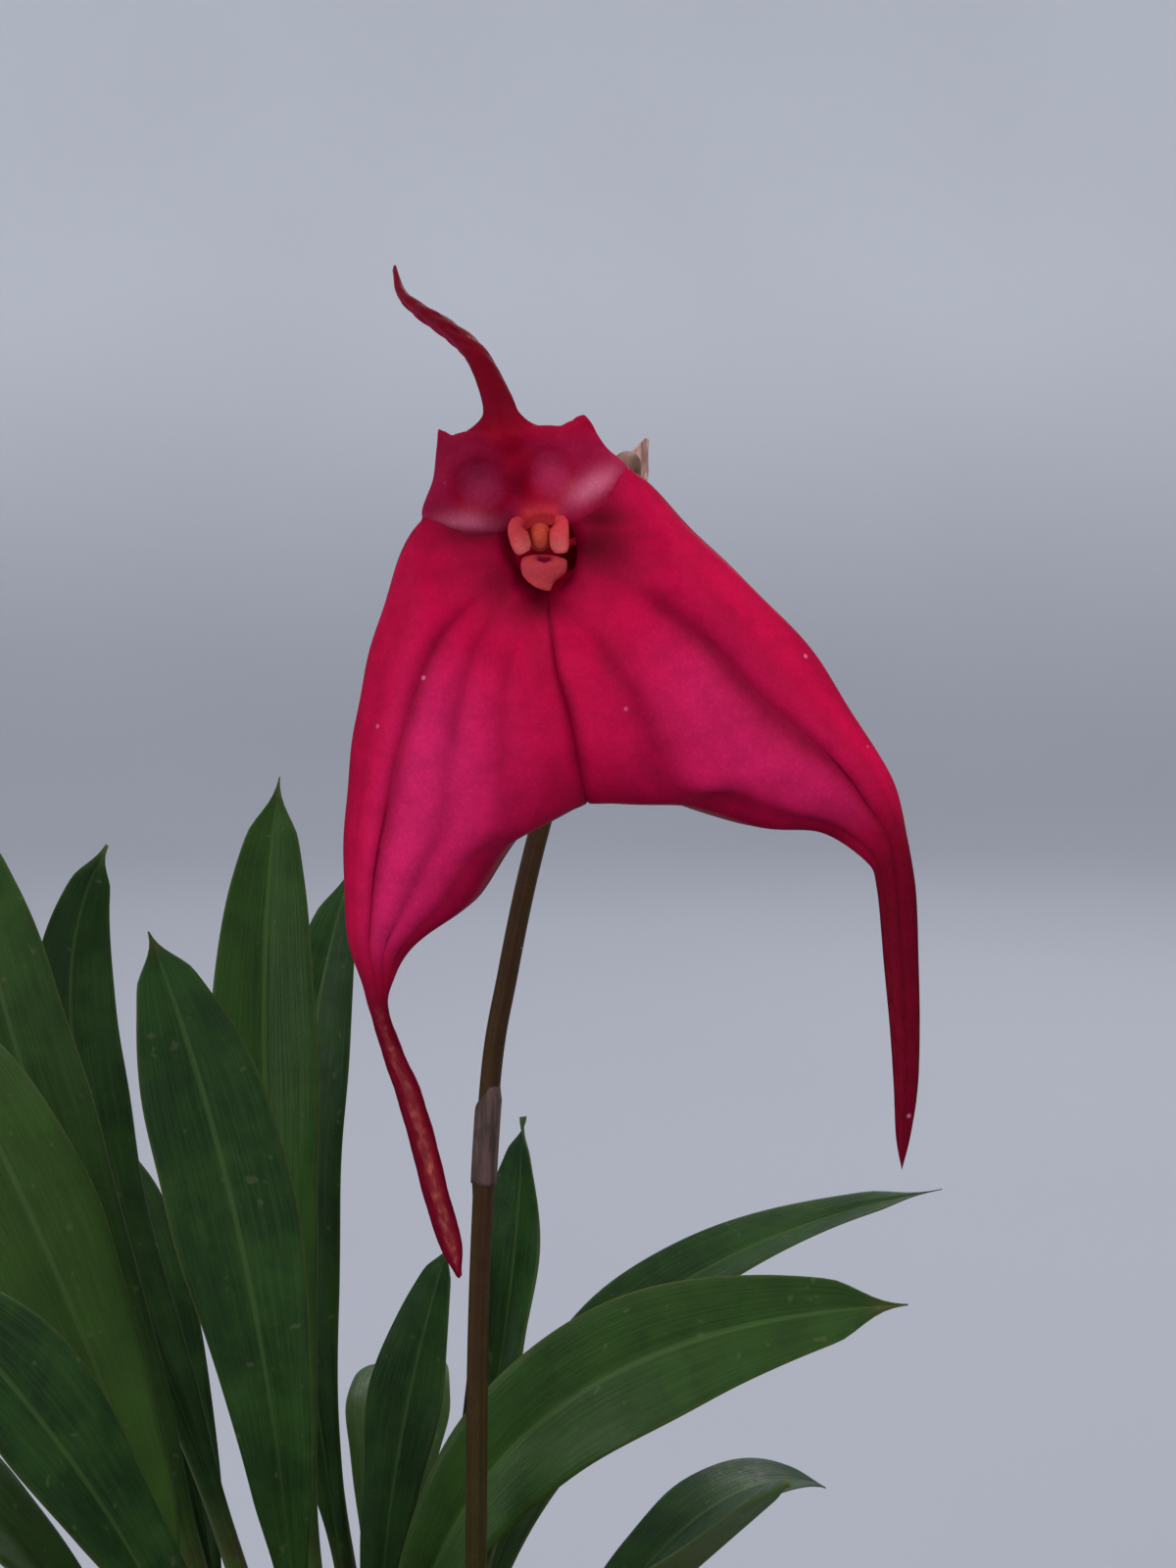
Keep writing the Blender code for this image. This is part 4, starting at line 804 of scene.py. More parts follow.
def sepals(finish):
    """The three sepals, grown together into a tube, with their free blades and tails."""
    plan = (("dorsal", DORSAL, -60), ("right", RIGHT_SEPAL, 60), ("left", LEFT_SEPAL, 180))
    seam_after = {"dorsal": SEAM_END_UPPER, "right": SEAM_END_LOWER, "left": SEAM_END_UPPER}
    before = {"right": "dorsal", "left": "right", "dorsal": "left"}
    grids = {name: sepal_rows(sepal, COLUMNS[name], angle) for name, sepal, angle in plan}
    middle, ids, tints = [], {}, {True: {}, False: {}}
    reliefs = []

    def shared_edge(name, place, last_edge):
        return place <= (seam_after[name] if last_edge else seam_after[before[name]])

    def joined_row(name, other, i):
        """The same place's row in the sepal beside this one."""
        return int(np.argmin(abs(grids[other][1] - grids[name][1][i])))

    for name, _, _ in plan:
        rows, places, blade_keys = grids[name]
        columns = COLUMNS[name]
        us = spread(columns)
        uu, pp = np.meshgrid(us, places)
        relief = sepal_relief(name, uu, pp, blade_keys, rows)
        looks = {front: sepal_tint(name, uu, pp, blade_keys, rows, front) for front in (True, False)}
        ids[name] = np.zeros((len(rows), columns + 1), int)
        owner = before[name]
        for i in range(len(rows)):
            for c in range(columns + 1):
                if c == 0 and owner in ids and shared_edge(name, places[i], False):
                    ids[name][i, c] = ids[owner][joined_row(name, owner, i), COLUMNS[owner]]
                elif name == "left" and c == columns and shared_edge(name, places[i], True):
                    ids[name][i, c] = ids["dorsal"][joined_row(name, "dorsal", i), 0]
                elif i == len(rows) - 1 and c > 0:
                    ids[name][i, c] = ids[name][i, 0]
                else:
                    v = len(middle)
                    ids[name][i, c] = v
                    middle.append(rows[i, c])
                    reliefs.append(relief[i, c])
                    for front in (True, False):
                        tints[front][v] = looks[front][i, c]
    middle, reliefs = np.array(middle), np.array(reliefs)
    lower_seam = [ids["right"][i, -1] for i, p in enumerate(grids["right"][1]) if 5 < p <= SEAM_END_LOWER]
    reliefs[lower_seam] -= 0.5
    quads = []
    for name, _, _ in plan:
        grid = ids[name]
        corners = [grid[:-1, :-1], grid[:-1, 1:], grid[1:, 1:], grid[1:, :-1]]
        quads.append(np.stack(corners, -1).reshape(-1, 4))
    quads = np.concatenate(quads)

    def vertex_normals(points):
        way = np.cross(points[quads[:, 2]] - points[quads[:, 0]], points[quads[:, 3]] - points[quads[:, 1]])
        total = np.zeros_like(points)
        for corner in range(4):
            np.add.at(total, quads[:, corner], way)
        return total / np.maximum(np.linalg.norm(total, axis=1)[:, None], 1e-12)

    middle = middle + vertex_normals(middle) * reliefs[:, None]
    normals = vertex_normals(middle)
    thick = np.zeros(len(middle))
    for name, sepal, _ in plan:
        rows, places, blade_keys = grids[name]
        us = spread(COLUMNS[name])
        for i, place in enumerate(places):
            tail = float(smoothstep(place, blade_keys - 2.5, blade_keys + 0.5))
            half = TISSUE + (sepal["tail_half_thick"] - TISSUE) * tail
            half *= 1 - 0.55 * float(smoothstep(place, len(sepal["tail"]) + blade_keys - 4, places[-1]))
            power = 10 - 8 * tail
            for c, u in enumerate(us):
                free = not shared_edge(name, place, u > 0)
                shrink = math.sqrt(max(1 - abs(u) ** power, 0.0)) if free else 1.0
                v = ids[name][i, c]
                size = 0.0 if i == len(rows) - 1 else half * shrink
                thick[v] = max(thick[v], size) if shrink else 0.0
    points, tint, through, front_of, back_of = [], [], [], {}, {}
    for v, p in enumerate(middle):
        front_of[v] = len(points)
        points.append(p + normals[v] * thick[v])
        tint.append(tints[True][v])
        through.append(float(smoothstep(p @ TUBE_AXIS, 1.8, 3.6)))
        back_of[v] = front_of[v]
        if thick[v] > 0:
            back_of[v] = len(points)
            points.append(p - normals[v] * thick[v])
            tint.append(tints[False][v])
            through.append(0.0)
    faces = []
    for quad in quads:
        faces.append([front_of[v] for v in quad])
        faces.append([back_of[v] for v in quad[::-1]])
    for name, _, _ in plan:
        for edge in (0, COLUMNS[name]):
            for a, b in zip(ids[name][:-1, edge], ids[name][1:, edge]):
                if thick[a] > 0 and thick[b] == 0:
                    wedge = [front_of[a], front_of[b], back_of[a]]
                    faces.append(wedge if edge == 0 else wedge[::-1])
    inner, outer = [], []
    for name, _, _ in plan:
        for c in range(COLUMNS[name]):
            inner.append(front_of[ids[name][0, c]])
            outer.append(back_of[ids[name][0, c]])
    centre = np.mean([points[k] for k in outer], axis=0)
    lowered = []
    for k in outer:
        lowered.append(len(points))
        points.append(centre + (points[k] - centre) * 0.72 + TUBE_AXIS * 0.8)
        tint.append(BACK_RED)
        through.append(0.0)
    for k in range(len(outer)):
        n = (k + 1) % len(outer)
        faces.append([outer[k], outer[n], lowered[n], lowered[k]])
    faces.append(lowered)
    faces.append(inner[::-1])
    cleaned = []
    for f in faces:
        kept = [v for k, v in enumerate(f) if v != f[k - 1]]
        if len(kept) > 2:
            cleaned.append(kept)
    return piece("sepal_tissue", np.array(points) + THROAT, cleaned, finish, "sepals",
                 {"tint": tint, "through": through})


# Bloom: the parts in the throat

BLADE_RING_STEPS = 6
BLADE_SIDES = 28
STEM_SIDES = 40


def fleshy_blade(name, path, wides, thicks, hint, finish, node, colour_at, dip=None):
    """A small blade lofted from flattened rings along a path.

    colour_at(along, across, up) gives its tint, and dip, with the same inputs, a rise along its normal.
    """
    sides = BLADE_SIDES
    path = spline(path, BLADE_RING_STEPS) + THROAT
    wides, thicks = spline(wides, BLADE_RING_STEPS), spline(thicks, BLADE_RING_STEPS)
    points, tint = [], []
    count = len(path) - 1
    frames = frames_along(path, unit(hint))
    for i, (p, w, h, (_, side, normal)) in enumerate(zip(path, wides, thicks, frames)):
        for k in range(sides):
            angle = math.tau * k / sides
            u, v = math.cos(angle), math.sin(angle)
            lift = dip(i / count, u, v) if dip else 0.0
            points.append(p + w * u * side + (h * v + lift) * normal)
            tint.append(colour_at(i / count, u, v))
    return piece(name, points, ring_faces(len(path), sides), finish, node, {"tint": tint})


def column(finish):
    """The column, with its domed anther cap at the front."""
    path = ((2.7, 9.4, 3.2), (1.85, 7.6, 3.1), (0.85, 5.6, 2.85), (0.15, 4.1, 2.7), (-0.2, 3.1, 2.55),
            (-0.35, 2.2, 2.45), (-0.4, 1.5, 2.4))
    wide = (0.6, 0.6, 0.62, 0.72, 0.9, 1.0, 0.65)
    thick = (0.7, 0.65, 0.7, 0.9, 1.25, 1.3, 0.8)

    def look(along, across, up):
        front = float(smoothstep(along, 0.78, 0.92))
        cap = front * math.exp(-((up - 0.25) / 0.75) ** 4)
        made = fade(rgb(150, 30, 50), rgb(196, 76, 64), front)
        return tuple(fade(made, rgb(190, 62, 34), 0.9 * cap))
    return fleshy_blade("column_and_cap", path, wide, thick, (0, 0, 1), finish, "column", look)


def petals(finish):
    """Two small oblong petals beside the column, whose ends bend down over the mouth."""
    left = ((1.5, 9.5, 3.0), (0.45, 7.7, 2.9), (-0.7, 5.6, 2.7), (-1.4, 4.2, 2.5), (-1.75, 3.1, 2.55),
            (-2.05, 2.1, 3.05), (-2.25, 1.4, 3.4), (-2.25, 1.0, 2.95), (-2.05, 0.9, 2.2), (-1.85, 0.9, 1.6),
            (-1.7, 1.0, 1.2))
    right = ((4.2, 9.3, 3.3), (3.35, 7.7, 3.1), (2.35, 5.6, 2.9), (1.8, 4.2, 2.75), (1.5, 3.1, 2.8),
             (1.4, 2.2, 3.25), (1.35, 1.4, 3.55), (1.3, 1.0, 3.0), (1.3, 0.9, 2.2), (1.35, 0.9, 1.6),
             (1.4, 1.0, 1.2))
    wide = (0.4, 0.6, 0.78, 0.75, 0.62, 0.68, 0.86, 0.95, 0.95, 0.88, 0.65)
    thick = (0.3, 0.3, 0.3, 0.3, 0.3, 0.3, 0.32, 0.32, 0.32, 0.3, 0.3)

    def look(along, across, up):
        made = fade(rgb(150, 24, 52), rgb(196, 58, 66), smoothstep(along, 0.4, 0.62))
        made = fade(made, rgb(204, 88, 88), float(smoothstep(along, 0.68, 0.9)))
        return tuple(fade(made, rgb(184, 50, 62), 0.5 * abs(across) ** 4))
    for name, path, lean in (("petal_left", left, 0.5), ("petal_right", right, -0.5)):
        hint = (lean, -0.87, 0)
        fleshy_blade(name + "_blade", path, wide, thick, hint, finish, name, look)


HEART_PLACE = 0.61            # where the lip's heart-shaped dip lies, as a share of its length


def lip(finish):
    """The tongue-shaped lip with two low keels, its pointed end turned down."""
    path = ((2.6, 9.8, 1.5), (2.0, 8.2, 0.5), (1.35, 6.2, 0.0), (0.7, 4.2, 0.0), (0.2, 2.5, 0.3),
            (0.05, 1.2, 0.58), (0.0, 0.55, 0.1), (0.05, 0.38, -0.65), (0.15, 0.4, -1.35),
            (0.35, 0.55, -2.05))
    wide = (0.5, 0.9, 1.2, 1.4, 1.6, 1.9, 1.98, 1.85, 1.2, 0.15)
    thick = (0.35, 0.4, 0.42, 0.4, 0.4, 0.4, 0.4, 0.38, 0.34, 0.3)

    def look(along, across, up):
        made = fade(rgb(128, 8, 38), rgb(172, 52, 62), smoothstep(along, 0.42, 0.56))
        made = fade(made, rgb(186, 66, 70), 0.6 * float(smoothstep(along, 0.75, 1.0)))
        heart = math.hypot(across / 0.36, (along - HEART_PLACE + 0.05 * abs(across)) / 0.05)
        return tuple(fade(made, rgb(104, 0, 30), 1 - float(smoothstep(heart, 0.8, 1.25)) if up > 0 else 0))

    def keels(along, across, up):
        if up <= 0:
            return 0.0
        ridge = math.exp(-((abs(across) - 0.42) / 0.14) ** 2)
        ridge *= float(smoothstep(along, 0.15, 0.3)) * (1 - float(smoothstep(along, 0.4, 0.5)))
        heart = math.hypot(across / 0.36, (along - HEART_PLACE + 0.05 * abs(across)) / 0.05)
        return 0.2 * ridge - 0.35 * up * (1 - float(smoothstep(heart, 0.4, 1.3)))
    hint = (0, -0.55, 0.85)
    return fleshy_blade("lip_tongue", path, wide, thick, hint, finish, "lip", look, dip=keels)


# Stem parts

def round_piece(name, path, radius_at, hint, finish, node, colour_at):
    """A stem of rings along a path.

    radius_at and colour_at take the share of its length, the angle round it and the point on the path.
    """
    sides = STEM_SIDES
    points, tint = [], []
    count = len(path) - 1
    for i, (p, (_, side, normal)) in enumerate(zip(path, frames_along(path, hint))):
        for k in range(sides):
            angle = math.tau * k / sides
            radius = radius_at(i / count, angle, p)
            points.append(p + radius * (math.cos(angle) * side + math.sin(angle) * normal))
            tint.append(colour_at(i / count, angle, p))
    return piece(name, points, ring_faces(len(path), sides), finish, node, {"tint": tint})


def ovary(finish):
    """The ribbed ovary behind the tube, and the pedicel that bends down into the floral bract."""
    start = TUBE_AXIS * (TUBE_LENGTH + 1.4)
    keys = (start, start + TUBE_AXIS * 2.5, start + TUBE_AXIS * 5.5, start + TUBE_AXIS * 8.5,
            (7.0, 24.5, 9.2), (7.9, 28.6, 9.6), (8.0, 31.0, 7.8), (7.6, 31.8, 5.0), (7.2, 32.0, 1.6))
    radii = (2.0, 2.1, 1.9, 1.45, 1.1, 0.95, 0.9, 0.88, 0.85)
    path = spline(keys, 10) + THROAT
    sizes = spline(radii, 10)

    def radius_at(share, angle, p):
        base = sizes[round(share * (len(sizes) - 1))]
        ribs = 0.13 * (1 - float(smoothstep(share, 0.32, 0.5)))
        return float(base) * (1 + ribs * math.cos(6 * angle))

    def colour_at(share, angle, p):
        ribs = 0.5 - 0.5 * math.cos(6 * angle)
        made = fade(rgb(120, 96, 62), rgb(118, 44, 50), 0.35 + 0.4 * ribs)
        return tuple(fade(made, rgb(132, 118, 70), smoothstep(share, 0.5, 0.9)))
    hint = (1, 0, 0.2)
    return round_piece("ovary_and_pedicel", path, radius_at, hint, finish, "ovary", colour_at)


def scape(finish):
    """The flower stem with the collars of its two sheathing bracts."""
    path = spline(SCAPE_PATH, 16)

    def radius_at(share, angle, p):
        radius = SCAPE_RADIUS * (1 - 0.12 * float(smoothstep(p[2], MIX_LEVEL, 210)))
        for height in SCAPE_SHEATHS:
            radius += 0.22 * math.exp(-((p[2] - height) / 1.1) ** 2)
        return radius * (1 + 0.012 * math.cos(9 * angle))

    def colour_at(share, angle, p):
        streak = 0.5 + 0.5 * speckle((10 * math.cos(angle), 10 * math.sin(angle), p[2] * 0.12), 3.0)
        made = fade(rgb(50, 26, 22), rgb(72, 54, 30), streak)
        made = fade(made, rgb(52, 56, 24), 0.8 * (1 - float(smoothstep(p[2], 95, 150))))
        return tuple(fade(made, rgb(92, 52, 44), 0.5 * float(smoothstep(p[2], 195, 215))))
    return round_piece("scape_stem", path, radius_at, (0, -1, 0.05), finish, "scape", colour_at)


def bract_shell(path, radius, thickness, opening, sides, lean):
    """Points and faces of a thin shell wrapped round a path and cut to a point on one side."""
    rings = []
    for share, (p, (_, side, normal)) in enumerate(zip(path, frames_along(path, lean))):
        place = share / (len(path) - 1)
        gap = opening(place)
        span = math.tau * (1 - gap)
        squeeze = 1 - 0.75 * max(gap - 0.35, 0)
        angles = [math.pi / 2 - span / 2 + span * k / sides for k in range(sides + 1)]
        ways = [math.cos(a) * side + math.sin(a) * normal for a in angles]
        out = [p + radius * squeeze * way for way in ways]
        inn = [p + (radius * squeeze - thickness) * way for way in ways]
        rings.append(out + inn[::-1])
    count = 2 * (sides + 1)
    return [q for ring in rings for q in ring], ring_faces(len(rings), count)


def floral_bract(finish):
    """The papery bract that wraps the foot of the pedicel and ends in a free tip."""
    keys = ((6.8, 32.0, 0.0), (7.1, 32.0, 2.0), (7.4, 32.0, 5.0), (7.8, 32.1, 7.5), (8.6, 32.6, 9.8),
            (9.7, 33.2, 12.3))
    path = spline(keys, 6) + THROAT

    def opening(place):
        return float(np.interp(place, (0, 0.2, 0.4, 0.6, 0.8, 1.0), (0.005, 0.05, 0.34, 0.5, 0.68, 0.93)))
    points, faces = bract_shell(path, 2.1, 0.3, opening, 22, (0, 1, 0.1))
    return piece("floral_bract_shell", points, faces, finish, "floral_bract")


def scape_sheaths(finish):
    """Two thin tubular bracts that clasp the stem, each with a pointed lip."""
    line = spline(SCAPE_PATH, 16)
    points, faces = [], []
    for height, turn in zip(SCAPE_SHEATHS, (2.4, 1.2)):
        heights = np.linspace(height - 0.8, height + 12.0, 26)
        sideways = [np.interp(heights, line[:, 2], line[:, axis]) for axis in (0, 1)]
        path = np.stack([*sideways, heights], -1)

        def opening(place):
            return 0.01 + 0.9 * float(smoothstep(place, 0.45, 1.0))
        lean = (math.sin(turn), -math.cos(turn), 0.02)
        shell, shell_faces = bract_shell(path, SCAPE_RADIUS + 0.19, 0.12, opening, 20, lean)
        base = len(points)
        points += shell
        faces += [tuple(v + base for v in f) for f in shell_faces]
    return piece("scape_sheaths", points, faces, finish)


# Pot and potting mix

def inner_radius(height):
    share = height / (POT_HEIGHT - POT_RIM_HEIGHT)
    return POT_FOOT_RADIUS + (POT_BODY_RADIUS - POT_FOOT_RADIUS) * share - POT_WALL


def rounded(profile, reach=0.8, steps=4):
    """The outline with each inner corner cut by a short arc."""
    made = [np.array(profile[0], float)]
    for before, corner, after in zip(profile, profile[1:], profile[2:]):
        before, corner, after = (np.array(p, float) for p in (before, corner, after))
        back = min(reach, 0.45 * np.linalg.norm(before - corner))
        ahead = min(reach, 0.45 * np.linalg.norm(after - corner))
        a = corner + unit(before - corner) * back
        b = corner + unit(after - corner) * ahead
        for k in range(steps + 1):
            t = k / steps
            made.append(a * (1 - t) ** 2 + 2 * corner * t * (1 - t) + b * t * t)
    made.append(np.array(profile[-1], float))
    return made


def dense(profile, longest=2.5):
    """The outline with extra points so that no step is long."""
    made = [profile[0]]
    for a, b in zip(profile, profile[1:]):
        count = max(1, int(np.linalg.norm(b - a) / longest))
        made += [a + (b - a) * k / count for k in range(1, count + 1)]
    return made


def pot(finish):
    """Clay pot, turned a little out of true, with three drain holes."""
    band = POT_HEIGHT - POT_RIM_HEIGHT
    rim_inner = POT_RIM_RADIUS - POT_WALL - 0.6
    outline = ((16, 0), (POT_FOOT_RADIUS - 1, 0), (POT_FOOT_RADIUS, 1), (POT_BODY_RADIUS, band),
               (POT_RIM_RADIUS - 1.2, band + 0.2), (POT_RIM_RADIUS - 0.4, band + 1.4),
               (POT_RIM_RADIUS, POT_HEIGHT - 1.5), (POT_RIM_RADIUS - 1.2, POT_HEIGHT),
               (rim_inner + 1.0, POT_HEIGHT), (rim_inner, POT_HEIGHT - 1.2),
               (inner_radius(band) + 0.8, band), (inner_radius(POT_FLOOR), POT_FLOOR), (16, POT_FLOOR))
    sides = 144
    profile = [(0, 0)] + dense(rounded(outline)) + [(0, POT_FLOOR)]
    points, faces, rings = [], [], []
    for radius, height in profile:
        if radius == 0:
            rings.append([len(points)] * sides)
            points.append((0, 0, height))
            continue
        rings.append(list(range(len(points), len(points) + sides)))
        for k in range(sides):
            angle = math.tau * k / sides
            wobble = 0.16 * speckle((60 * math.cos(angle), 60 * math.sin(angle), height), 28.0, 3.0)
            wobble *= float(smoothstep(height, 0.5, 4))
            reach = radius + wobble
            points.append((reach * math.cos(angle), reach * math.sin(angle), height))
    for low, high in zip(rings, rings[1:]):
        for k in range(sides):
            n = (k + 1) % sides
            face = []
            for v in (low[k], low[n], high[n], high[k]):
                if v not in face:
                    face.append(v)
            faces.append(face)
    made = piece("clay_pot", points, faces, finish, "pot")
    made.data.flip_normals()
    drill = bpy.data.collections.new("drill")
    bpy.context.scene.collection.children.link(drill)
    for k in range(DRAIN_COUNT):
        angle = math.tau * k / DRAIN_COUNT + math.pi / 2
        x, y = DRAIN_CIRCLE * math.cos(angle), DRAIN_CIRCLE * math.sin(angle)
        bpy.ops.mesh.primitive_cylinder_add(vertices=40, radius=DRAIN_RADIUS * MM, depth=4 * POT_FLOOR * MM,
                                            location=(x * MM, y * MM, POT_FLOOR / 2 * MM))
        bit = bpy.context.object
        for old in list(bit.users_collection):
            old.objects.unlink(bit)
        drill.objects.link(bit)
    cut = made.modifiers.new("drain", "BOOLEAN")
    cut.operation = "DIFFERENCE"
    cut.operand_type = "COLLECTION"
    cut.collection = drill
    cut.solver = "EXACT"
    bpy.context.view_layer.update()
    evaluated = made.evaluated_get(bpy.context.evaluated_depsgraph_get())
    mesh = bpy.data.meshes.new_from_object(evaluated)
    made.modifiers.remove(cut)
    made.data = mesh
    for bit in list(drill.objects):
        bpy.data.objects.remove(bit)
    bpy.data.collections.remove(drill)
    mesh.set_sharp_from_angle(angle=math.radians(40))
    return made


def mix_height(radius):
    """The mix is level at its middle and sinks a little towards the pot."""
    return MIX_LEVEL - MIX_SINK * (radius / MIX_REACH) ** 2


def stems():
    return [foot for foot, *_ in LEAVES] + [SCAPE_PATH[1][:2]]


def rough_chip(rng, place, size, detail):
    """A broken piece of bark: a subdivided block, worn and flaked."""
    turn, tilt, roll = rng.uniform(0, math.tau), rng.uniform(-0.35, 0.35), rng.uniform(-0.3, 0.3)
    seed = rng.uniform(0, 50)
    sheared = rng.uniform(-0.25, 0.25)
    points, faces, index = [], [], {}

    def corner(i, j, k):
        key = (i, j, k)
        if key in index:
            return index[key]
        x, y, z = (2 * c / detail - 1 for c in key)
        soft = 1 - 0.10 * (x * x * y * y + y * y * z * z + z * z * x * x)
        x, y, z = x * soft + sheared * y, y * soft, z * soft
        p = np.array((0.5 * size[0] * x, 0.5 * size[1] * y, 0.5 * size[2] * z))
        p += 0.09 * size[1] * np.array([speckle(p, 3.0, seed + a) for a in (0, 7, 13)])
        p[2] += 0.10 * size[2] * speckle(p, 1.2, seed)
        x, y, z = p
        y, z = y * math.cos(roll) - z * math.sin(roll), y * math.sin(roll) + z * math.cos(roll)
        x, z = x * math.cos(tilt) + z * math.sin(tilt), -x * math.sin(tilt) + z * math.cos(tilt)
        x, y = x * math.cos(turn) - y * math.sin(turn), x * math.sin(turn) + y * math.cos(turn)
        index[key] = len(points)
        points.append((x + place[0], y + place[1], z + place[2]))
        return index[key]
    for a in range(detail):
        for b in range(detail):
            for end in (0, detail):
                for axis in range(3):
                    quad = []
                    for da, db in ((0, 0), (1, 0), (1, 1), (0, 1)):
                        key = [a + da, b + db]
                        key.insert(axis, end)
                        quad.append(corner(*key))
                    flip = (end == 0) != (axis == 1)
                    faces.append(quad[::-1] if flip else quad)
    return points, faces


# Number, share of the full chip, distance between chips, room round stems, and divisions of a side
CHIP_GRADES = ((46, 1.0, 7.2, 3.2, 6), (120, 0.62, 4.2, 2.6, 5), (330, 0.34, 2.0, 2.0, 3))


def potting_mix(finish, pale_finish):
    """Bark chips over a rough bed, with a few pale grains between them."""
    points, faces, age = [], [], []

    def add(some, more, old):
        base = len(points)
        points.extend(some)
        faces.extend(tuple(v + base for v in f) for f in more)
        age.extend([old] * len(some))

    rings, sides = 44, 132
    bed = [(0.0, 0.0, mix_height(0) - 0.6)]
    wall = inner_radius(MIX_LEVEL - 2) - 0.5
    for r in range(1, rings + 1):
        radius = wall * r / rings
        for k in range(sides):
            angle = math.tau * k / sides
            p = np.array((radius * math.cos(angle), radius * math.sin(angle), 0))
            lift = 0.9 * speckle(p, 5.0) + 0.6 * speckle(p, 2.0, 5.0) + 0.3 * speckle(p, 0.9, 9.0)
            bed.append((p[0], p[1], mix_height(radius) - 0.6 + lift))
    bed_faces = [(0, 1 + k, 1 + (k + 1) % sides) for k in range(sides)]
    for r in range(rings - 1):
        for k in range(sides):
            a, b = 1 + r * sides + k, 1 + r * sides + (k + 1) % sides
            bed_faces.append((a, a + sides, b + sides, b))
    rim = [(x, y, MIX_LEVEL - MIX_SKIRT) for x, y, _ in bed[-sides:]]
    last = len(bed) - sides
    bed += rim
    for k in range(sides):
        n = (k + 1) % sides
        bed_faces.append((last + k, last + sides + k, last + sides + n, last + n))
    bed_faces.append(tuple(range(last + sides, last + 2 * sides)))
    add(bed, bed_faces, 0.2)

    rng = random.Random(11)
    feet = stems()
    taken = []
    for wanted, scale, apart, clear, detail in CHIP_GRADES:
        made, tries = 0, 0
        while made < wanted and tries < 6000:
            tries += 1
            reach = wall - 0.5 * scale * CHIP_SIZE[0] - 0.4
            radius, angle = reach * math.sqrt(rng.random()), rng.uniform(0, math.tau)
            x, y = radius * math.cos(angle), radius * math.sin(angle)
            if any(math.hypot(x - a, y - b) < apart for a, b in taken):
                continue
            if any(math.hypot(x - a, y - b) < clear + 1.5 * scale for a, b in feet):
                continue
            taken.append((x, y))
            size = [c * scale * rng.uniform(0.7, 1.15) for c in CHIP_SIZE]
            lift = rng.uniform(0.2, 1.2) + (0.8 if scale < 0.5 else 0.3)
            add(*rough_chip(rng, (x, y, mix_height(radius) + lift), size, detail), rng.random())
            made += 1
    bark = piece("bark_mix", points, faces, finish, "potting_mix", {"age": age})
    bark.data.set_sharp_from_angle(angle=math.radians(48))

    points, faces, age = [], [], []
    for _ in range(46):
        radius, angle = (wall - 2) * math.sqrt(rng.random()), rng.uniform(0, math.tau)
        x, y = radius * math.cos(angle), radius * math.sin(angle)
        if any(math.hypot(x - a, y - b) < 3.2 for a, b in feet):
            continue
        grain = rng.uniform(1.2, 2.6)
        size = (grain, grain * rng.uniform(0.7, 1.0), grain * rng.uniform(0.6, 0.9))
        add(*rough_chip(rng, (x, y, mix_height(radius) + rng.uniform(1.2, 2.4)), size, 5), 0.5)
    piece("perlite_grains", points, faces, pale_finish)


# Stage

STAGE_FLAT = 1400.0           # radius of the level floor
STAGE_CURVE = 900.0           # radius of the bend up into the wall
STAGE_WALL = 500.0            # height of the wall above the bend


def stage():
    """A pale floor that curves up into a wall all round."""
    s = Shader("stage_grey", 0.9)
    height = s.node("SeparateXYZ", {"Vector": s.place}).outputs["Z"]
    # Painted light: the wall is paler than the floor, making up for the lesser light that reaches it.
    painted_light_tone = s.mix(s.steps(height, 0.0, 0.5), rgb(176, 179, 188), rgb(222, 225, 232))
    s.set("Base Color", s.mix(s.steps(s.noise(2.0, 2.0), 0.3, 0.7, 0.0, 0.06), painted_light_tone, (0.2, 0.2, 0.22)))
    s.set("Specular IOR Level", 0.1)
    flat, curve, tall = STAGE_FLAT, STAGE_CURVE, STAGE_WALL
    profile = [(0.0, 0.0), (200.0, 0.0), (700.0, 0.0)]
    bend = np.linspace(0, math.pi / 2, 24)
    profile += [(flat + curve * math.sin(a), curve * (1 - math.cos(a))) for a in bend]
    profile.append((flat + curve, curve + tall))
    sides = 96
    turns = [math.tau * k / sides for k in range(sides)]
    points = [(0, 0, 0)]
    for radius, height in profile[1:]:
        points += [(radius * math.cos(turn), radius * math.sin(turn), height) for turn in turns]
    faces = [(0, 1 + k, 1 + (k + 1) % sides) for k in range(sides)]
    for r in range(len(profile) - 2):
        for k in range(sides):
            a, b = 1 + r * sides + k, 1 + r * sides + (k + 1) % sides
            faces.append((a, a + sides, b + sides, b))
    mesh = bpy.data.meshes.new("stage_floor")
    mesh.from_pydata([tuple(c * MM for c in p) for p in points], [], faces)
    mesh.shade_smooth()
    mesh.materials.append(s.material)
    floor = bpy.data.objects.new("stage_floor", mesh)
    bpy.context.scene.collection.objects.link(floor)


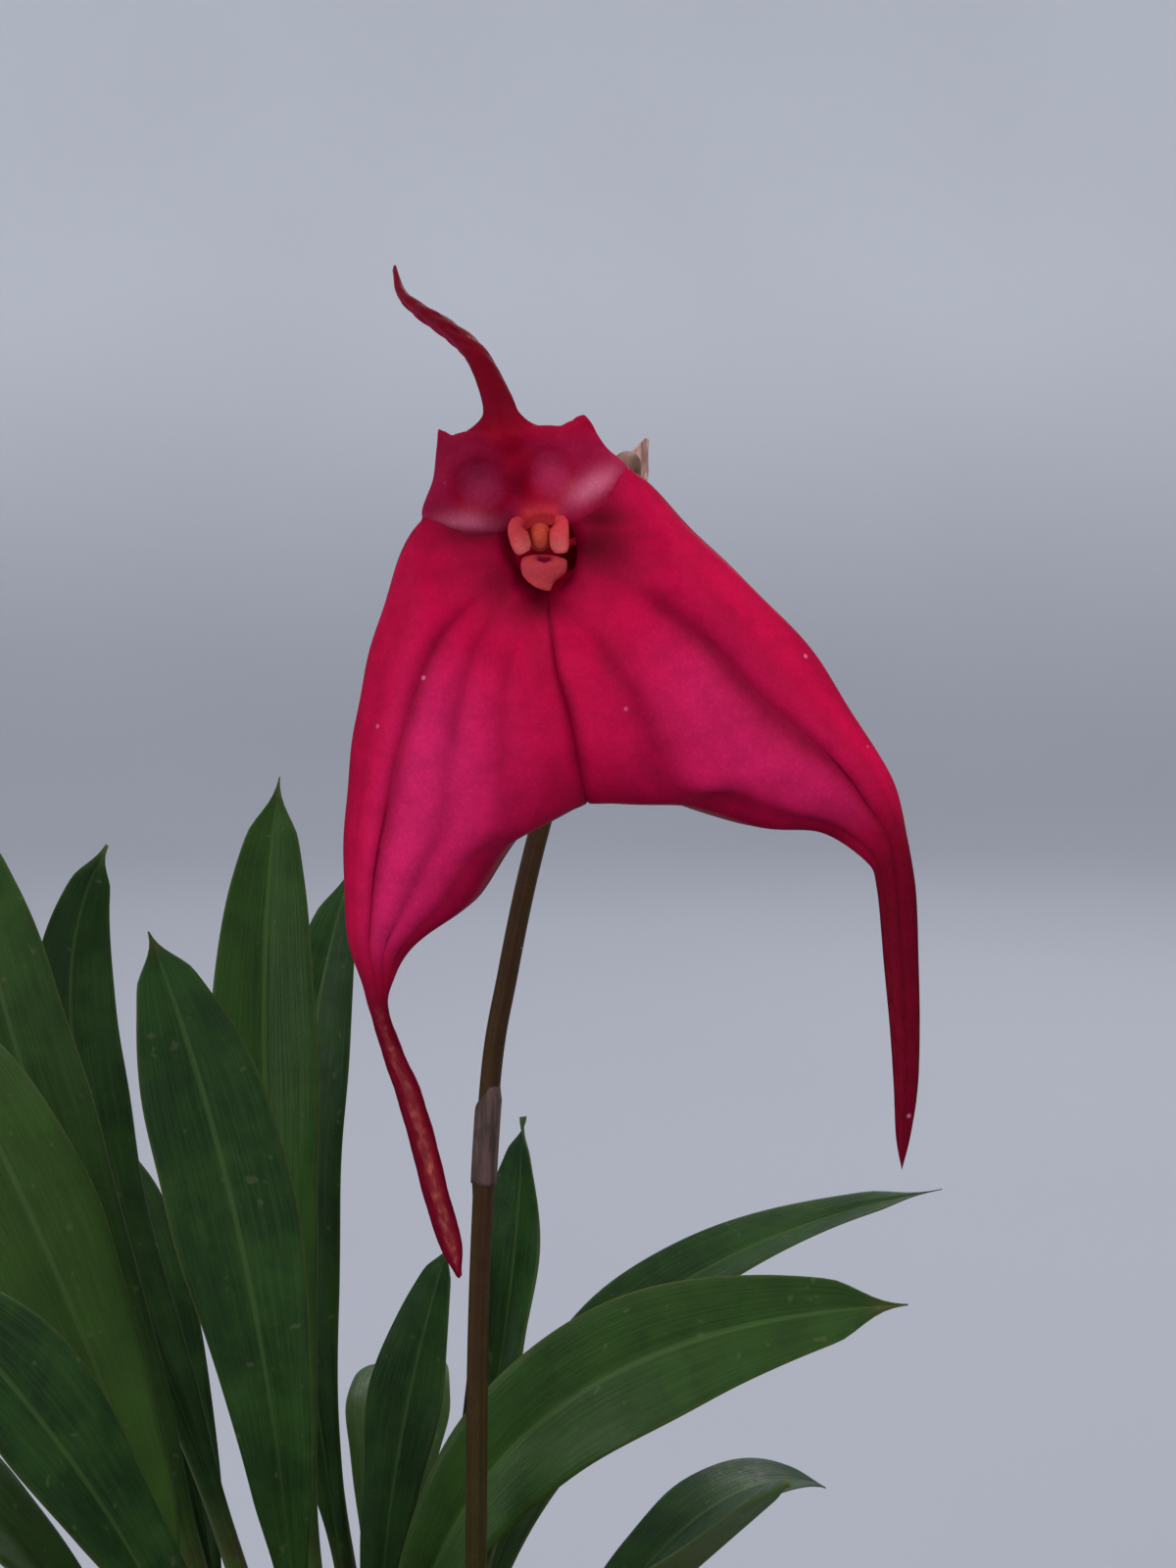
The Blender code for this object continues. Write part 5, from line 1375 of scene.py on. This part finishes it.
# Name, place in metres, width, power and colour
LAMPS = (("key", (0.75, -0.9, 1.1), 0.7, 6.0, (1.0, 0.98, 0.95)),
         ("fill", (-0.9, -0.8, 0.5), 0.9, 6.5, (0.95, 0.96, 1.0)),
         ("back", (0.3, 1.0, 0.9), 0.6, 3.5, (1.0, 1.0, 1.0)))
SKY_COLOUR = (0.93, 0.95, 1.0, 1.0)
SKY_STRENGTH = 0.72


def area_light(name, place, target, size, power, colour):
    lamp = bpy.data.lights.new(name, "AREA")
    lamp.shape = "DISK"
    lamp.size = size
    lamp.energy = power
    lamp.color = colour
    made = bpy.data.objects.new(name, lamp)
    made.location = place
    made.rotation_euler = (Vector(target) - Vector(place)).to_track_quat("-Z", "Y").to_euler()
    bpy.context.scene.collection.objects.link(made)


def lights():
    world = bpy.data.worlds.new("studio")
    world.use_nodes = True
    sky = world.node_tree.nodes["Background"]
    sky.inputs["Color"].default_value = SKY_COLOUR
    sky.inputs["Strength"].default_value = SKY_STRENGTH
    bpy.context.scene.world = world
    for name, place, size, power, colour in LAMPS:
        area_light(name, place, tuple(THROAT * MM), size, power, colour)


def camera():
    data = bpy.data.cameras.new("camera")
    data.lens = CAMERA_LENS
    data.sensor_width = SENSOR
    data.clip_start = 0.005
    made = bpy.data.objects.new("camera", data)
    made.location = [c * MM for c in CAMERA_PLACE]
    made.rotation_euler = (math.radians(90 - CAMERA_TIP), 0, 0)
    bpy.context.scene.collection.objects.link(made)
    bpy.context.scene.camera = made


def main():
    bpy.context.scene.view_settings.view_transform = "Standard"
    green = leaf_shader()
    for index, spec in enumerate(LEAVES, 1):
        leaf(index, *spec, green)
    leaf_sheaths(papery_shader("dry_sheath", rgb(170, 142, 108), rgb(104, 76, 54)))
    sepals(tissue_shader("sepal_tissue", 0.5, 0.15, 0.03, 0.08, 0.03))
    waxy = tissue_shader("waxy_tissue", 0.5, 0.10, 0.015, 0.2, 0.08)
    column(waxy)
    petals(waxy)
    lip(waxy)
    stem = tissue_shader("stem_tissue", 0.5, 0.12, 0.02, 0.05, 0.06)
    ovary(stem)
    scape(stem)
    pink_paper = papery_shader("floral_paper", rgb(196, 160, 150), rgb(140, 96, 88))
    floral_bract(pink_paper)
    scape_sheaths(papery_shader("stem_paper", rgb(92, 66, 58), rgb(52, 32, 28)))
    pot(clay_shader())
    potting_mix(bark_shader(), perlite_shader())
    stage()
    lights()
    camera()


main()
